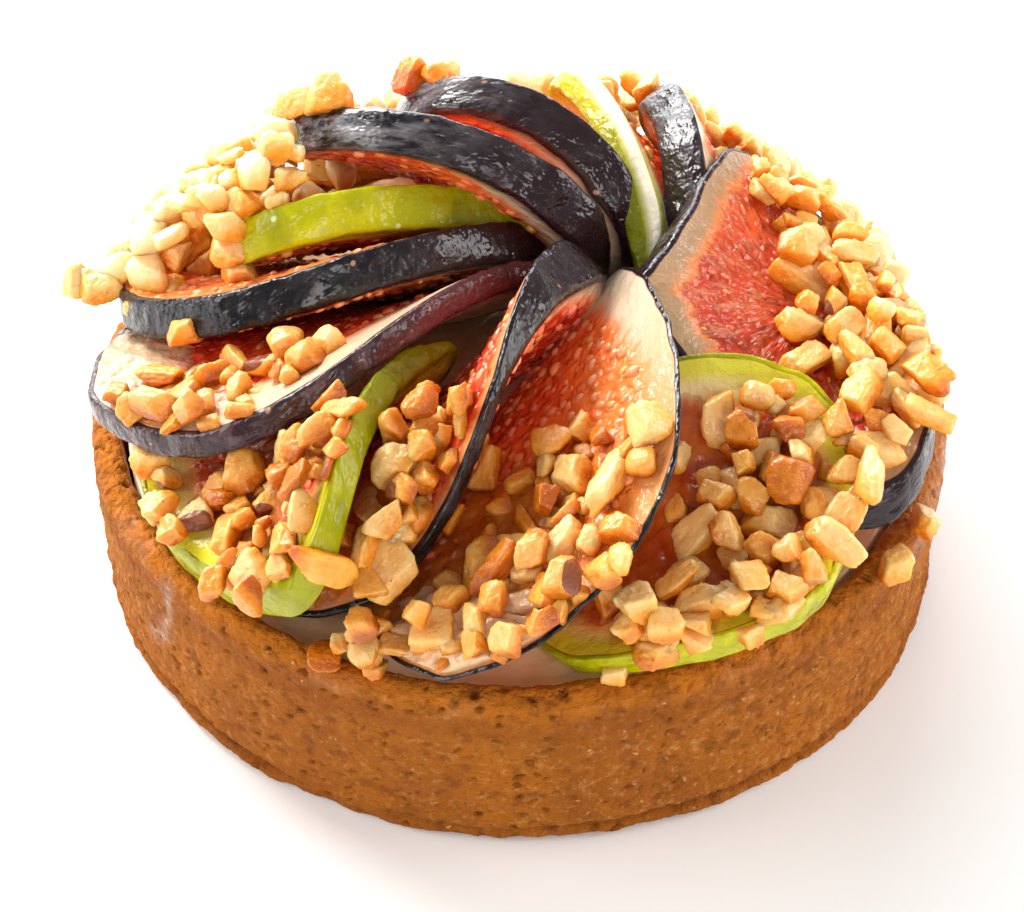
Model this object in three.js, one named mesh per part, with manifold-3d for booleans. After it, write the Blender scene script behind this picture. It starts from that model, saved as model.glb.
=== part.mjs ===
// Fig tart: a straight-sided tartlet shell filled with cream, with a pinwheel of twelve
// fig slices on top and chopped nuts heaped on the slices.
// Units are millimetres and degrees, +Z is up, and the origin is the centre of the underside.

import * as THREE from 'three';
import * as BufferGeometryUtils from 'three/addons/utils/BufferGeometryUtils.js';
import Module from 'manifold-3d';

// ---------------------------------------------------------------- driving dimensions

const GAP = 0.3;                  // clearance between pieces that touch

// Shell: baked in a ring, so its wall is straight and its foot is hardly rounded.
const SHELL_RADIUS = 45;
const SHELL_HEIGHT = 20;
const SHELL_WALL = 3.3;
const SHELL_FLOOR = 3.2;
const SHELL_SEGMENTS = 48;
const FOOT_ROUND = 0.8;
const RIM_ROUND = SHELL_WALL / 2;
const RIM_STEPS = 4;

// The shell was pressed by hand: slow waves in its radius and in the height of its rim.
const RADIUS_WAVES = [{ lobes: 2, depth: 0.35, turn: 150 }, { lobes: 5, depth: 0.15, turn: 40 }];
const RIM_WAVES = [{ lobes: 3, depth: 0.3, turn: 20 }, { lobes: 7, depth: 0.2, turn: 75 }];

// Cream: level inside the shell, drawn up into a mound under the crown of the pinwheel.
const CREAM_LEVEL = 17.4;
const CREAM_SEGMENTS = 24;
const CREAM_RINGS = 4;
const MOUND_HEIGHT = 11;
const MOUND_SPREAD = 15;

// Crown: the point that the stem ends of the fig slices gather round.
const CROWN = new THREE.Vector3(9, 2, 33);

// Fig slices. The cut edge of a slice stands out a little at mid-thickness, where the
// skin is, and the two ends are blunt.
const SKIN_BULGE = 0.45;
const END_BLUNTNESS = 1.3;
const OUTLINE_FULLNESS = 0.6;
const SLICE_SEGMENTS = { along: 12, across: 2, through: 2 };

const SKINS = {
  black: { color: 0x2f2a33, roughness: 0.35 },
  green: { color: 0x9fb31e, roughness: 0.4 },
};

// Counter-clockwise from the slice nearest the front. skin: the kind of fig. stem: the stem
// end, from the crown. heading: compass direction of the long axis. dip: slope below level
// at the stem end and at the round end. bank: how far the leading edge is rolled up, at the
// same two ends. size: length and width. thickness: at the two ends. belly: share of the
// length where it is widest. bevel: how far the underside is drawn in from the cut face.
// thin: share of the length at which it has come down to its thickness at the round end.
// flare: how far the underside stands out past the cut face on the trailing side.
const figSlice = (
  skin, stem, heading, dip, bank, size, thickness, belly, bevel, thin = 1, flare = 0,
) => ({ skin, stem, heading, dip, bank, size, thickness, belly, bevel, thin, flare });
const FIG_SLICES = [
  figSlice('black', [1.5, 1, -0.5], -109, [3, 16], [54, 25], [52, 39.5], [2.8, 2.2], 0.58, 2.6),
  figSlice('green', [-4.5, -15, -5.5], -50, [6, -1], [50, 0], [34, 36.5], [3.2, 4.2], 0.55, 0.8),
  figSlice('black', [2.5, -7.5, 4.6], 13, [33, 5], [30, -7], [31, 48], [4.2, 4.8], 0.65, 0, 1, 2.6),
  figSlice('black', [7.5, 2.5, -0.5], 59, [12, 40], [74, 14], [28, 37], [5.5, 4.5], 0.66, 0),
  figSlice('green', [4.5, 0, -1], 79, [0, 42], [78, 18], [35, 37], [4, 4], 0.63, 0),
  figSlice('black', [3, 4.8, -1.2], 121, [-1, 14], [92, 12], [35, 36], [4.8, 5], 0.53, 0),
  figSlice('black', [-0.5, 5, -4], 145, [-27, 20], [72, 22], [40, 38], [5.2, 4.2], 0.48, 0),
  figSlice('green', [-4, 6.5, 2], 171, [5, 16.7], [56, 29.4], [36, 37], [4.5, 4.5], 0.7, 0),
  figSlice('black', [-5, 6.5, -1], 186, [9, 2], [52, 26], [46, 36], [4.2, 4.2], 0.56, 0),
  figSlice('black', [-5.5, 2.5, -1.5], 198, [7, 4], [54, 11], [49, 42], [2.8, 2.8], 0.6, 0),
  figSlice('green', [-15.5, -12, 0.5], 209, [22, 17], [69, 1], [33.5, 43], [2.4, 4.6], 0.66, 0),
  figSlice('black', [-1, -1, 2], 227, [6, 34], [82, 11], [48, 33], [6.5, 1.7], 0.56, 0.8, 0.45),
];

// Heaps of chopped nuts. on: the slice that carries the heap, counted from 1. at: its
// middle, as a share of that slice's length, past 1 beyond its end, and of its half width.
// size: half length, half width and height.
const HEAP_SEGMENTS = { around: 10, down: 6 };
const HEAP_LUMPS = 0.12;
const HEAPS = [
  { name: 'nuts_front', on: 1, at: [0.72, 0], size: [14, 16, 2.8] },
  { name: 'nuts_front_right', on: 2, at: [0.62, 0], size: [14, 15, 3.2] },
  { name: 'nuts_right', on: 3, at: [0.78, -0.1], size: [11, 19, 3.6] },
  { name: 'nuts_back_right', on: 4, at: [0.95, 0], size: [12, 14, 8] },
  { name: 'nuts_back', on: 6, at: [0.95, -0.2], size: [13, 17, 9] },
  { name: 'nuts_back_left', on: 7, at: [0.92, 0], size: [12, 15, 9] },
  { name: 'nuts_left', on: 8, at: [1.18, 0], size: [12, 15, 9] },
  { name: 'nuts_left_rim', on: 9, at: [0.9, 0.2], size: [11, 10, 6] },
  { name: 'nuts_left_front', on: 10, at: [0.72, 0.3], size: [12, 9, 3.2] },
  { name: 'nuts_front_left', on: 11, at: [0.62, 0.2], size: [13, 13, 3.2] },
  { name: 'nuts_front_middle', on: 12, at: [0.66, 0], size: [11, 10, 2.8] },
];

// Space that the heaps keep to: inside the shell and, above its rim, a little past it. The
// outside of the heaps rises from the overhang to the shoulder, and falls in to the top.
const HEAP_OVERHANG = 1.8;
const HEAP_OVERHANG_RISE = 4;
const HEAP_SHOULDER = { radius: 40.5, height: 32 };
const HEAP_TOP = { radius: 23.4, height: 38.5 };
const HEAP_RIM_CLEARANCE = 1;

const CRUST_FINISH = { color: 0xc08444, roughness: 0.75 };
const CREAM_FINISH = { color: 0xe9dcc8, roughness: 0.5 };
const NUT_FINISH = { color: 0xe3b56c, roughness: 0.4 };

// ---------------------------------------------------------------- helpers

const wasm = await Module();
wasm.setup();

const radians = THREE.MathUtils.degToRad;
const lerp = THREE.MathUtils.lerp;

// Merges shared corners and drops the triangles that this closes up.
function welded(geometry) {
  geometry.deleteAttribute('normal');
  geometry.deleteAttribute('uv');
  const merged = BufferGeometryUtils.mergeVertices(geometry, 1e-4);
  const corners = Array.from(merged.index.array);
  const kept = [];
  for (let i = 0; i < corners.length; i += 3) {
    const [a, b, c] = corners.slice(i, i + 3);
    if (a !== b && b !== c && c !== a) kept.push(a, b, c);
  }
  merged.setIndex(kept);
  return merged;
}

// A closed geometry as a solid that can be cut.
function solidOf(geometry) {
  const merged = welded(geometry);
  return new wasm.Manifold(new wasm.Mesh({
    numProp: 3,
    vertProperties: new Float32Array(merged.attributes.position.array),
    triVerts: new Uint32Array(merged.index.array),
  }));
}

// The largest separate body of a solid: slivers that a cut leaves loose are dropped.
function mainBody(solid) {
  const bodies = solid.decompose();
  return bodies.reduce((best, body) => (body.volume() > best.volume() ? body : best));
}

// Cuts each tool out of a solid.
function cutBy(solid, tools) {
  return tools.reduce((left, tool) => left.subtract(tool), solid);
}

// The named mesh of a solid, in its finish.
function meshOf(name, solid, finish) {
  const { vertProperties, triVerts } = solid.getMesh();
  const geometry = new THREE.BufferGeometry();
  geometry.setAttribute('position', new THREE.BufferAttribute(new Float32Array(vertProperties), 3));
  geometry.setIndex(new THREE.BufferAttribute(new Uint32Array(triVerts), 1));
  geometry.computeVertexNormals();
  const mesh = new THREE.Mesh(geometry, new THREE.MeshStandardMaterial({ ...finish, metalness: 0 }));
  mesh.name = name;
  return mesh;
}

// Moves every corner of a geometry by a function that edits the point it is given.
function reshape(geometry, move) {
  const positions = geometry.attributes.position;
  const point = new THREE.Vector3();
  for (let i = 0; i < positions.count; i += 1) {
    point.fromBufferAttribute(positions, i);
    move(point);
    positions.setXYZ(i, point.x, point.y, point.z);
  }
  return geometry;
}

// The sum of some waves round the axis, at an angle.
function wave(waves, angle) {
  return waves.reduce((sum, w) => sum + w.depth * Math.cos(w.lobes * (angle - radians(w.turn))), 0);
}

// A solid of revolution about Z from [radius, height] pairs that start and end on the axis.
function turned(profile, segments) {
  const points = profile.map(([radius, height]) => new THREE.Vector2(radius, height));
  return new THREE.LatheGeometry(points, segments).rotateX(Math.PI / 2);
}

// ---------------------------------------------------------------- shell

// grow thickens the shell all over, to cut what rests on it.
function shellGeometry(grow = 0) {
  const outer = SHELL_RADIUS + grow;
  const inner = SHELL_RADIUS - SHELL_WALL - grow;
  const rimCentre = SHELL_HEIGHT - RIM_ROUND;
  const profile = [[0, -grow], [outer - FOOT_ROUND, -grow], [outer, FOOT_ROUND - grow]];
  for (let i = 0; i <= RIM_STEPS; i += 1) {
    const angle = (Math.PI * i) / RIM_STEPS;
    const reach = RIM_ROUND + grow;
    profile.push([(outer + inner) / 2 + reach * Math.cos(angle), rimCentre + reach * Math.sin(angle)]);
  }
  profile.push([inner, SHELL_FLOOR + grow], [0, SHELL_FLOOR + grow]);
  return reshape(turned(profile, SHELL_SEGMENTS), (point) => {
    const angle = Math.atan2(point.y, point.x);
    const stretch = 1 + wave(RADIUS_WAVES, angle) / SHELL_RADIUS;
    point.x *= stretch;
    point.y *= stretch;
    if (point.z > SHELL_FLOOR + grow) {
      point.z += wave(RIM_WAVES, angle) * ((point.z - SHELL_FLOOR) / (SHELL_HEIGHT - SHELL_FLOOR));
    }
  });
}

// ---------------------------------------------------------------- cream

// Flat on the shell's floor and filling it, with its top drawn up under the crown.
function creamGeometry() {
  const radius = SHELL_RADIUS - SHELL_WALL - GAP;
  const foot = SHELL_FLOOR + GAP;
  const profile = [[0, foot], [radius, foot]];
  for (let ring = 0; ring <= CREAM_RINGS; ring += 1) {
    profile.push([radius * (1 - ring / CREAM_RINGS), CREAM_LEVEL]);
  }
  return reshape(turned(profile, CREAM_SEGMENTS), (point) => {
    const away = Math.hypot(point.x - CROWN.x, point.y - CROWN.y) / MOUND_SPREAD;
    const share = point.z > foot + 1 ? 1 : 0;
    const angle = Math.atan2(point.y, point.x);
    const stretch = 1 + wave(RADIUS_WAVES, angle) / SHELL_RADIUS;
    point.z += share * MOUND_HEIGHT * Math.exp(-away * away);
    point.x *= stretch;
    point.y *= stretch;
  });
}

// ---------------------------------------------------------------- fig slices

// The middle surface of a slice at a share of its length: a point on the long axis, the
// direction across it towards the leading edge, and the direction out of the cut face.
function sliceFrame(slice, share) {
  const heading = radians(slice.heading);
  const [dipStart, dipEnd] = slice.dip.map(radians);
  const dipRate = dipEnd - dipStart;
  const dip = dipStart + dipRate * share;
  const bank = lerp(radians(slice.bank[0]), radians(slice.bank[1]), share);
  const outward = new THREE.Vector3(Math.cos(heading), Math.sin(heading), 0);
  const sideways = new THREE.Vector3(-outward.y, outward.x, 0);
  const up = new THREE.Vector3(0, 0, 1);
  const length = slice.size[0];
  const centre = new THREE.Vector3(...slice.stem).add(CROWN);
  centre.addScaledVector(outward, (length * (Math.sin(dip) - Math.sin(dipStart))) / dipRate);
  centre.addScaledVector(up, (length * (Math.cos(dip) - Math.cos(dipStart))) / dipRate);
  const lift = outward.clone().multiplyScalar(Math.sin(dip)).addScaledVector(up, Math.cos(dip));
  const across = sideways.clone().multiplyScalar(Math.cos(bank)).addScaledVector(lift, Math.sin(bank));
  const normal = lift.clone().multiplyScalar(Math.cos(bank)).addScaledVector(sideways, -Math.sin(bank));
  return { centre, across, normal };
}

// Half the width of a slice at a share of its length: a teardrop, widest at the belly.
function sliceHalfWidth(slice, share) {
  const power = Math.log(0.5) / Math.log(slice.belly);
  const swell = Math.max(Math.sin(Math.PI * share ** power), 0) ** OUTLINE_FULLNESS;
  return Math.hypot((slice.size[1] / 2) * swell, END_BLUNTNESS);
}

// Half the thickness of a slice at a share of its length.
const sliceHalfThickness = (slice, share) => (
  lerp(...slice.thickness, Math.min(share / slice.thin, 1)) / 2
);

// A slice: a box bent to the slice's frame, with its outline and its bulging cut edge.
function sliceGeometry(slice, grow = 0) {
  const [length] = slice.size;
  const { along, across, through } = SLICE_SEGMENTS;
  const box = new THREE.BoxGeometry(2, 2, 2, along, across, through);
  return reshape(box, (point) => {
    const { x, y, z } = point;
    const edge = (1 - Math.abs(z)) * SKIN_BULGE + grow;
    const share = 0.5 + 0.5 * Math.sin((Math.PI / 2) * x);
    const frame = sliceFrame(slice, share + (x * edge) / length);
    const inset = (slice.bevel * (1 - z)) / 2;
    const flare = (slice.flare * share * (1 - z) * Math.max(-y, 0)) / 2;
    const reach = Math.max(sliceHalfWidth(slice, share) - inset, END_BLUNTNESS) + edge + flare;
    point.copy(frame.centre)
      .addScaledVector(frame.across, y * reach)
      .addScaledVector(frame.normal, z * (sliceHalfThickness(slice, share) + grow));
  });
}

// A slice lies on the next ones counter-clockwise, up to half way round, and is cut to
// clear them. Of two opposite slices the one further on in the list is left whole.
function liesOn(upper, lower) {
  const count = FIG_SLICES.length;
  const ahead = (lower - upper + count) % count;
  return ahead > 0 && (ahead < count / 2 || (ahead === count / 2 && upper < lower));
}

function fittedSlices(grownShell) {
  const grown = FIG_SLICES.map((slice) => solidOf(sliceGeometry(slice, GAP)));
  const fitted = FIG_SLICES.map((slice, upper) => {
    const below = grown.filter((_, lower) => liesOn(upper, lower));
    return mainBody(cutBy(solidOf(sliceGeometry(slice)), [...below, grownShell]));
  });
  return { grown, fitted };
}

// ---------------------------------------------------------------- nut heaps

// A lumpy ball, squashed onto the cut face of the slice that carries it.
function heapGeometry(heap, grow = 0) {
  const slice = FIG_SLICES[heap.on - 1];
  const [halfLength, halfWidth, height] = heap.size;
  const [alongShare, acrossShare] = heap.at;
  const frame = sliceFrame(slice, alongShare);
  const along = new THREE.Vector3().crossVectors(frame.across, frame.normal);
  const middle = frame.centre.clone()
    .addScaledVector(frame.across, acrossShare * sliceHalfWidth(slice, alongShare))
    .addScaledVector(frame.normal, sliceHalfThickness(slice, alongShare));
  const ball = new THREE.SphereGeometry(1, HEAP_SEGMENTS.around, HEAP_SEGMENTS.down);
  return reshape(ball, (point) => {
    const { x, y, z } = point;
    const lumps = Math.sin(5 * x + heap.on) * Math.cos(4 * y - heap.on) * Math.cos(3 * z);
    const swell = 1 + HEAP_LUMPS * lumps;
    point.copy(middle)
      .addScaledVector(along, x * (halfLength * swell + grow))
      .addScaledVector(frame.across, y * (halfWidth * swell + grow))
      .addScaledVector(frame.normal, z * (height * swell + grow));
  });
}

// The space that the heaps keep to.
function heapSpaceGeometry() {
  const inner = SHELL_RADIUS - SHELL_WALL - GAP;
  const reach = SHELL_RADIUS + HEAP_OVERHANG;
  const lip = SHELL_HEIGHT + HEAP_RIM_CLEARANCE;
  const profile = [
    [0, CREAM_LEVEL], [inner, CREAM_LEVEL],
    [inner, lip], [reach, lip], [reach, lip + HEAP_OVERHANG_RISE],
    [HEAP_SHOULDER.radius, HEAP_SHOULDER.height],
    [HEAP_TOP.radius, HEAP_TOP.height], [0, HEAP_TOP.height],
  ];
  return turned(profile, SHELL_SEGMENTS / 2);
}

// Each heap is cut to clear the slices, the shell and the heaps already made.
function fittedHeaps(grownSlices, grownShell) {
  const grownHeaps = [];
  const space = solidOf(heapSpaceGeometry());
  const fitted = HEAPS.map((heap) => {
    const heaped = solidOf(heapGeometry(heap)).intersect(space);
    const body = mainBody(cutBy(heaped, [...grownSlices, grownShell, ...grownHeaps]));
    grownHeaps.push(solidOf(heapGeometry(heap, GAP)));
    return body;
  });
  return { grownHeaps, fitted };
}

// ---------------------------------------------------------------- the tart

const tart = new THREE.Group();
tart.name = 'fig_tart';

const grownShell = solidOf(shellGeometry(GAP));
const slices = fittedSlices(grownShell);
const heaps = fittedHeaps(slices.grown, grownShell);
const cream = mainBody(cutBy(solidOf(creamGeometry()), [...slices.grown, ...heaps.grownHeaps]));

tart.add(meshOf('shell', solidOf(shellGeometry()), CRUST_FINISH));
tart.add(meshOf('cream', cream, CREAM_FINISH));
slices.fitted.forEach((body, index) => {
  const number = String(index + 1).padStart(2, '0');
  tart.add(meshOf(`fig_slice_${number}`, body, SKINS[FIG_SLICES[index].skin]));
});
heaps.fitted.forEach((body, index) => tart.add(meshOf(HEAPS[index].name, body, NUT_FINISH)));

export default tart;
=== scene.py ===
"""A fig tart: a crisp shell, cream, a pinwheel of fig slices, chopped nuts and syrup.

Sizes are in millimetres in the dataclass fields, and become metres when a mesh is made.
The front of the tart faces -Y, +X is to its right and Z is up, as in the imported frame.
"""

import logging
import math
from dataclasses import dataclass, field
from enum import Enum

import bmesh
import bpy
import numpy as np
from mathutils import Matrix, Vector, noise
from mathutils.bvhtree import BVHTree


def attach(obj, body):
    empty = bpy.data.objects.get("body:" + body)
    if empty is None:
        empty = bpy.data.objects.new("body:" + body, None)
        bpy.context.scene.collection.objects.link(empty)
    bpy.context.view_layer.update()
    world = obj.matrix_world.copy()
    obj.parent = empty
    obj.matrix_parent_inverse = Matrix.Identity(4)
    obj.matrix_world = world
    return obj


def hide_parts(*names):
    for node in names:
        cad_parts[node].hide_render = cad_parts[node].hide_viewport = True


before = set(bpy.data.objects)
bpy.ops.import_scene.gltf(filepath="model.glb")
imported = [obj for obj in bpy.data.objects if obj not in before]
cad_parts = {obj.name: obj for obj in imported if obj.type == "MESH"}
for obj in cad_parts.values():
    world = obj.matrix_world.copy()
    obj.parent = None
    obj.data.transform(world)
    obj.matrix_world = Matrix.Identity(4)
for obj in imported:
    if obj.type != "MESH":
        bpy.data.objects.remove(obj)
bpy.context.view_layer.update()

MM = 0.001
BODY = "root"
SCATTER_SEED = 21
log = logging.getLogger("fig_tart")

Colour = tuple[float, float, float]
Face = tuple[int, ...]
Marks = dict[str, np.ndarray]
Part = tuple[np.ndarray, list[Face], Marks]
Wave = tuple[int, float, float]


# ------------------------------------------------------------------ shader maths


class Wire:
    """One output of a shader node, with arithmetic that adds Math nodes."""

    def __init__(self, tree: "ShaderTree", socket: bpy.types.NodeSocket) -> None:
        """Keeps the tree and the socket."""
        self.tree = tree
        self.socket = socket

    def __add__(self, other: "Wire | float") -> "Wire":
        """This value plus another."""
        return self.tree.math("ADD", self, other)

    __radd__ = __add__

    def __sub__(self, other: "Wire | float") -> "Wire":
        """This value less another."""
        return self.tree.math("SUBTRACT", self, other)

    def __rsub__(self, other: "Wire | float") -> "Wire":
        """Another value less this one."""
        return self.tree.math("SUBTRACT", other, self)

    def __mul__(self, other: "Wire | float") -> "Wire":
        """This value times another."""
        return self.tree.math("MULTIPLY", self, other)

    __rmul__ = __mul__

    def clamped(self) -> "Wire":
        """This value held between 0 and 1."""
        return self.tree.add("ShaderNodeClamp", inputs={"Value": self})

    def step(self, start: float, end: float) -> "Wire":
        """A smooth rise from 0 to 1 as this value goes from start to end.

        Args:
            start: the value that gives 0.
            end: the value that gives 1.

        Returns:
            The risen value.
        """
        ends = {"From Min": start, "From Max": end}
        settings = {"interpolation_type": "SMOOTHSTEP"}
        return self.tree.add("ShaderNodeMapRange", settings, {"Value": self, **ends})


class ShaderTree:
    """The node tree of one material, built up from expressions."""

    def __init__(self, name: str) -> None:
        """Starts an empty material.

        Args:
            name: the material's name.
        """
        self.material = bpy.data.materials.new(name)
        self.material.use_nodes = True
        self.tree = self.material.node_tree
        self.tree.nodes.clear()

    def add(self, kind: str, settings: dict | None = None, inputs: dict | None = None,
            output: str | int = 0) -> Wire:
        """Adds a node.

        Args:
            kind: the node's type.
            settings: its properties, set first; stops holds a ramp's (place, colour) pairs.
            inputs: numbers, colours or wires for its sockets, by name or number.
            output: the output that is wanted, by name or number.

        Returns:
            A wire from that output.
        """
        node = self.tree.nodes.new(kind)
        for name, value in (settings or {}).items():
            if name == "stops":
                self._set_stops(node.color_ramp, value)
            else:
                setattr(node, name, value)
        for name, value in (inputs or {}).items():
            socket = node.inputs[name]
            if isinstance(value, Wire):
                self.tree.links.new(value.socket, socket)
            else:
                socket.default_value = value
        return Wire(self, node.outputs[output])

    @staticmethod
    def _set_stops(ramp: bpy.types.ColorRamp, stops: list[tuple[float, Colour]]) -> None:
        """Gives a ramp its stops.

        Args:
            ramp: the ramp.
            stops: a place from 0 to 1 and a colour for each.
        """
        while len(ramp.elements) < len(stops):
            ramp.elements.new(1.0)
        for element, (place, colour) in zip(ramp.elements, stops):
            element.position = place
            element.color = (*colour, 1.0)

    def math(self, operation: str, *values: Wire | float) -> Wire:
        """A Math node on one or more values."""
        return self.add("ShaderNodeMath", {"operation": operation}, dict(enumerate(values)))

    def vector(self, operation: str, *values: Wire | tuple, output: int = 0) -> Wire:
        """A Vector Math node on one or more vectors."""
        settings = {"operation": operation}
        return self.add("ShaderNodeVectorMath", settings, dict(enumerate(values)), output)

    def mix(self, share: Wire | float, low: Wire | Colour, high: Wire | Colour) -> Wire:
        """A blend of two colours.

        Args:
            share: 0 for low, 1 for high.
            low: the first colour.
            high: the second colour.

        Returns:
            The blended colour.
        """
        settings = {"data_type": "RGBA", "clamp_factor": True}
        inputs = {0: share, 6: self._rgba(low), 7: self._rgba(high)}
        return self.add("ShaderNodeMix", settings, inputs, output=2)

    @staticmethod
    def _rgba(colour: Wire | Colour) -> Wire | tuple:
        """A colour with its alpha, or the wire as it is."""
        return colour if isinstance(colour, Wire) else (*colour, 1.0)

    def ramp(self, value: Wire, *stops: tuple[float, Colour]) -> Wire:
        """A colour ramp on a value."""
        return self.add("ShaderNodeValToRGB", {"stops": list(stops)}, {"Fac": value})

    def mark(self, name: str, output: str = "Fac") -> Wire:
        """A number or vector that the mesh carries under a name."""
        return self.add("ShaderNodeAttribute", {"attribute_name": name}, output=output)

    def place_mm(self) -> Wire:
        """The place on the object, in millimetres."""
        place = self.add("ShaderNodeTexCoord", output="Object")
        return self.vector("MULTIPLY", place, (1 / MM,) * 3)

    def noise(self, place: Wire, size: float, detail: float = 2.0, rough: float = 0.5,
              output: str | int = 0) -> Wire:
        """Cloudy noise.

        Args:
            place: where, in millimetres.
            size: the size of its clouds, in millimetres.
            detail: how many finer layers it has.
            rough: how strong those are.
            output: 0 for a value, or Color for three of them.

        Returns:
            A value about 0.5.
        """
        inputs = {"Vector": place, "Scale": 1 / size, "Detail": detail, "Roughness": rough}
        return self.add("ShaderNodeTexNoise", inputs=inputs, output=output)

    def bent(self, place: Wire, size: float, detail: float) -> Wire:
        """A place pushed about by noise, so that cells there have crooked edges.

        Args:
            place: where, in millimetres.
            size: the size of the noise's clouds, in millimetres.
            detail: how many finer layers it has.

        Returns:
            The pushed place.
        """
        return self.vector("ADD", place, self.noise(place, size, detail, output="Color"))

    def cells(self, place: Wire, size: float, output: str = "Distance") -> Wire:
        """Round cells of a size in millimetres: the distance from each one's middle."""
        inputs = {"Vector": place, "Scale": 1 / size}
        return self.add("ShaderNodeTexVoronoi", inputs=inputs, output=output)

    def bump(self, height: Wire, depth: float) -> Wire:
        """A normal bumped by a relief, which is a share of a depth in millimetres."""
        inputs = {"Height": height, "Distance": depth * MM, "Strength": 1.0}
        return self.add("ShaderNodeBump", inputs=inputs)

    def finish(self, **sockets: object) -> bpy.types.Material:
        """Ends the tree in a Principled shader.

        Args:
            sockets: its inputs, with an underscore for each space.

        Returns:
            The material.
        """
        inputs = {name.replace("_", " "): value for name, value in sockets.items()}
        shader = self.add("ShaderNodeBsdfPrincipled", inputs=inputs)
        output = self.tree.nodes.new("ShaderNodeOutputMaterial")
        self.tree.links.new(shader.socket, output.inputs["Surface"])
        return self.material


# ------------------------------------------------------------------ mesh helpers


def smooth_noise(places: np.ndarray, size: float, octaves: int = 1) -> np.ndarray:
    """Noise at many places.

    Args:
        places: n x 3, in millimetres.
        size: the size of its clouds, in millimetres.
        octaves: how many layers it has.

    Returns:
        n values between about -1 and 1.
    """
    if octaves == 1:
        values = (noise.noise(Vector(place)) for place in places / size)
    else:
        values = (noise.fractal(Vector(place), 0.6, 2.1, octaves) for place in places / size)
    return np.fromiter(values, float, len(places))


def smooth_step(values: np.ndarray, start: float, end: float) -> np.ndarray:
    """A smooth rise from 0 to 1 as values go from start to end."""
    share = np.clip((values - start) / (end - start), 0.0, 1.0)
    return share * share * (3.0 - 2.0 * share)


def ring_faces(rows: int, around: int) -> list[Face]:
    """The faces of a closed loft.

    Args:
        rows: the number of rings, numbered from 0.
        around: the corners in each ring.

    Returns:
        Quads between rings, and fans to two tips that follow the last ring.
    """
    faces: list[Face] = []
    for row in range(rows - 1):
        for step in range(around):
            a, b = row * around + step, row * around + (step + 1) % around
            faces.append((a, b, b + around, a + around))
    first_tip, last_tip = rows * around, rows * around + 1
    last = (rows - 1) * around
    for step in range(around):
        after = (step + 1) % around
        faces.append((first_tip, after, step))
        faces.append((last_tip, last + step, last + after))
    return faces


def make_piece(name: str, corners: np.ndarray, faces: list[Face],
               marks: Marks | None = None) -> bpy.types.Object:
    """Makes a smooth mesh object.

    Args:
        name: the piece's name.
        corners: n x 3, in millimetres.
        faces: the corners of each face.
        marks: numbers or vectors for each corner, by name, for the shaders.

    Returns:
        The object, with its faces turned outwards.
    """
    mesh = bpy.data.meshes.new(name)
    mesh.from_pydata((corners * MM).tolist(), [], faces)
    for mark, values in (marks or {}).items():
        kind = "FLOAT_VECTOR" if values.ndim == 2 else "FLOAT"
        slot = "vector" if values.ndim == 2 else "value"
        layer = mesh.attributes.new(mark, kind, "POINT")
        layer.data.foreach_set(slot, values.astype(np.float32).ravel())
    if signed_volume(corners, mesh) < 0:
        mesh.flip_normals()
    mesh.shade_smooth()
    piece = bpy.data.objects.new(name, mesh)
    bpy.context.scene.collection.objects.link(piece)
    return piece


def signed_volume(corners: np.ndarray, mesh: bpy.types.Mesh) -> float:
    """Measures a mesh.

    Args:
        corners: its corners, n x 3.
        mesh: the mesh.

    Returns:
        Six times the volume inside it, below 0 where its faces point in.
    """
    mesh.calc_loop_triangles()
    flat = np.empty(len(mesh.loop_triangles) * 3, np.int32)
    mesh.loop_triangles.foreach_get("vertices", flat)
    a, b, c = (corners[flat[i::3]] for i in range(3))
    return float(np.einsum("ij,ij->i", a, np.cross(b, c)).sum())


def join_parts(name: str, parts: list[Part]) -> bpy.types.Object:
    """Makes one mesh object of many loose parts.

    Args:
        name: the piece's name.
        parts: the corners, faces and marks of each part.

    Returns:
        The object.
    """
    faces: list[Face] = []
    start = 0
    for corners, own_faces, _ in parts:
        faces += [tuple(start + i for i in face) for face in own_faces]
        start += len(corners)
    marks = {mark: np.concatenate([part[2][mark] for part in parts]) for mark in parts[0][2]}
    return make_piece(name, np.vstack([part[0] for part in parts]), faces, marks)


def dress(piece: bpy.types.Object, material: bpy.types.Material, slot: str,
          *nodes: str) -> bpy.types.Object:
    """Gives a piece its material and its place on the tart.

    Args:
        piece: the object.
        material: what it is made of.
        slot: the record's material slot; not used.
        nodes: the CAD nodes that it stands for.

    Returns:
        The same object.
    """
    piece.data.materials.clear()
    piece.data.materials.append(material)
    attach(piece, BODY)
    if nodes:
        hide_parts(*nodes)
    log.info("made %s: %d faces", piece.name, len(piece.data.polygons))
    return piece


def tree_of(pieces: list[bpy.types.Object]) -> BVHTree:
    """Makes a search tree for rays.

    Args:
        pieces: the pieces that a ray may hit.

    Returns:
        The tree of all their faces, in metres.
    """
    corners: list[Vector] = []
    faces: list[Face] = []
    for piece in pieces:
        start = len(corners)
        corners.extend(vertex.co.copy() for vertex in piece.data.vertices)
        faces.extend(tuple(start + i for i in face.vertices) for face in piece.data.polygons)
    return BVHTree.FromPolygons(corners, faces)


# ------------------------------------------------------------------ finishes


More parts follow.
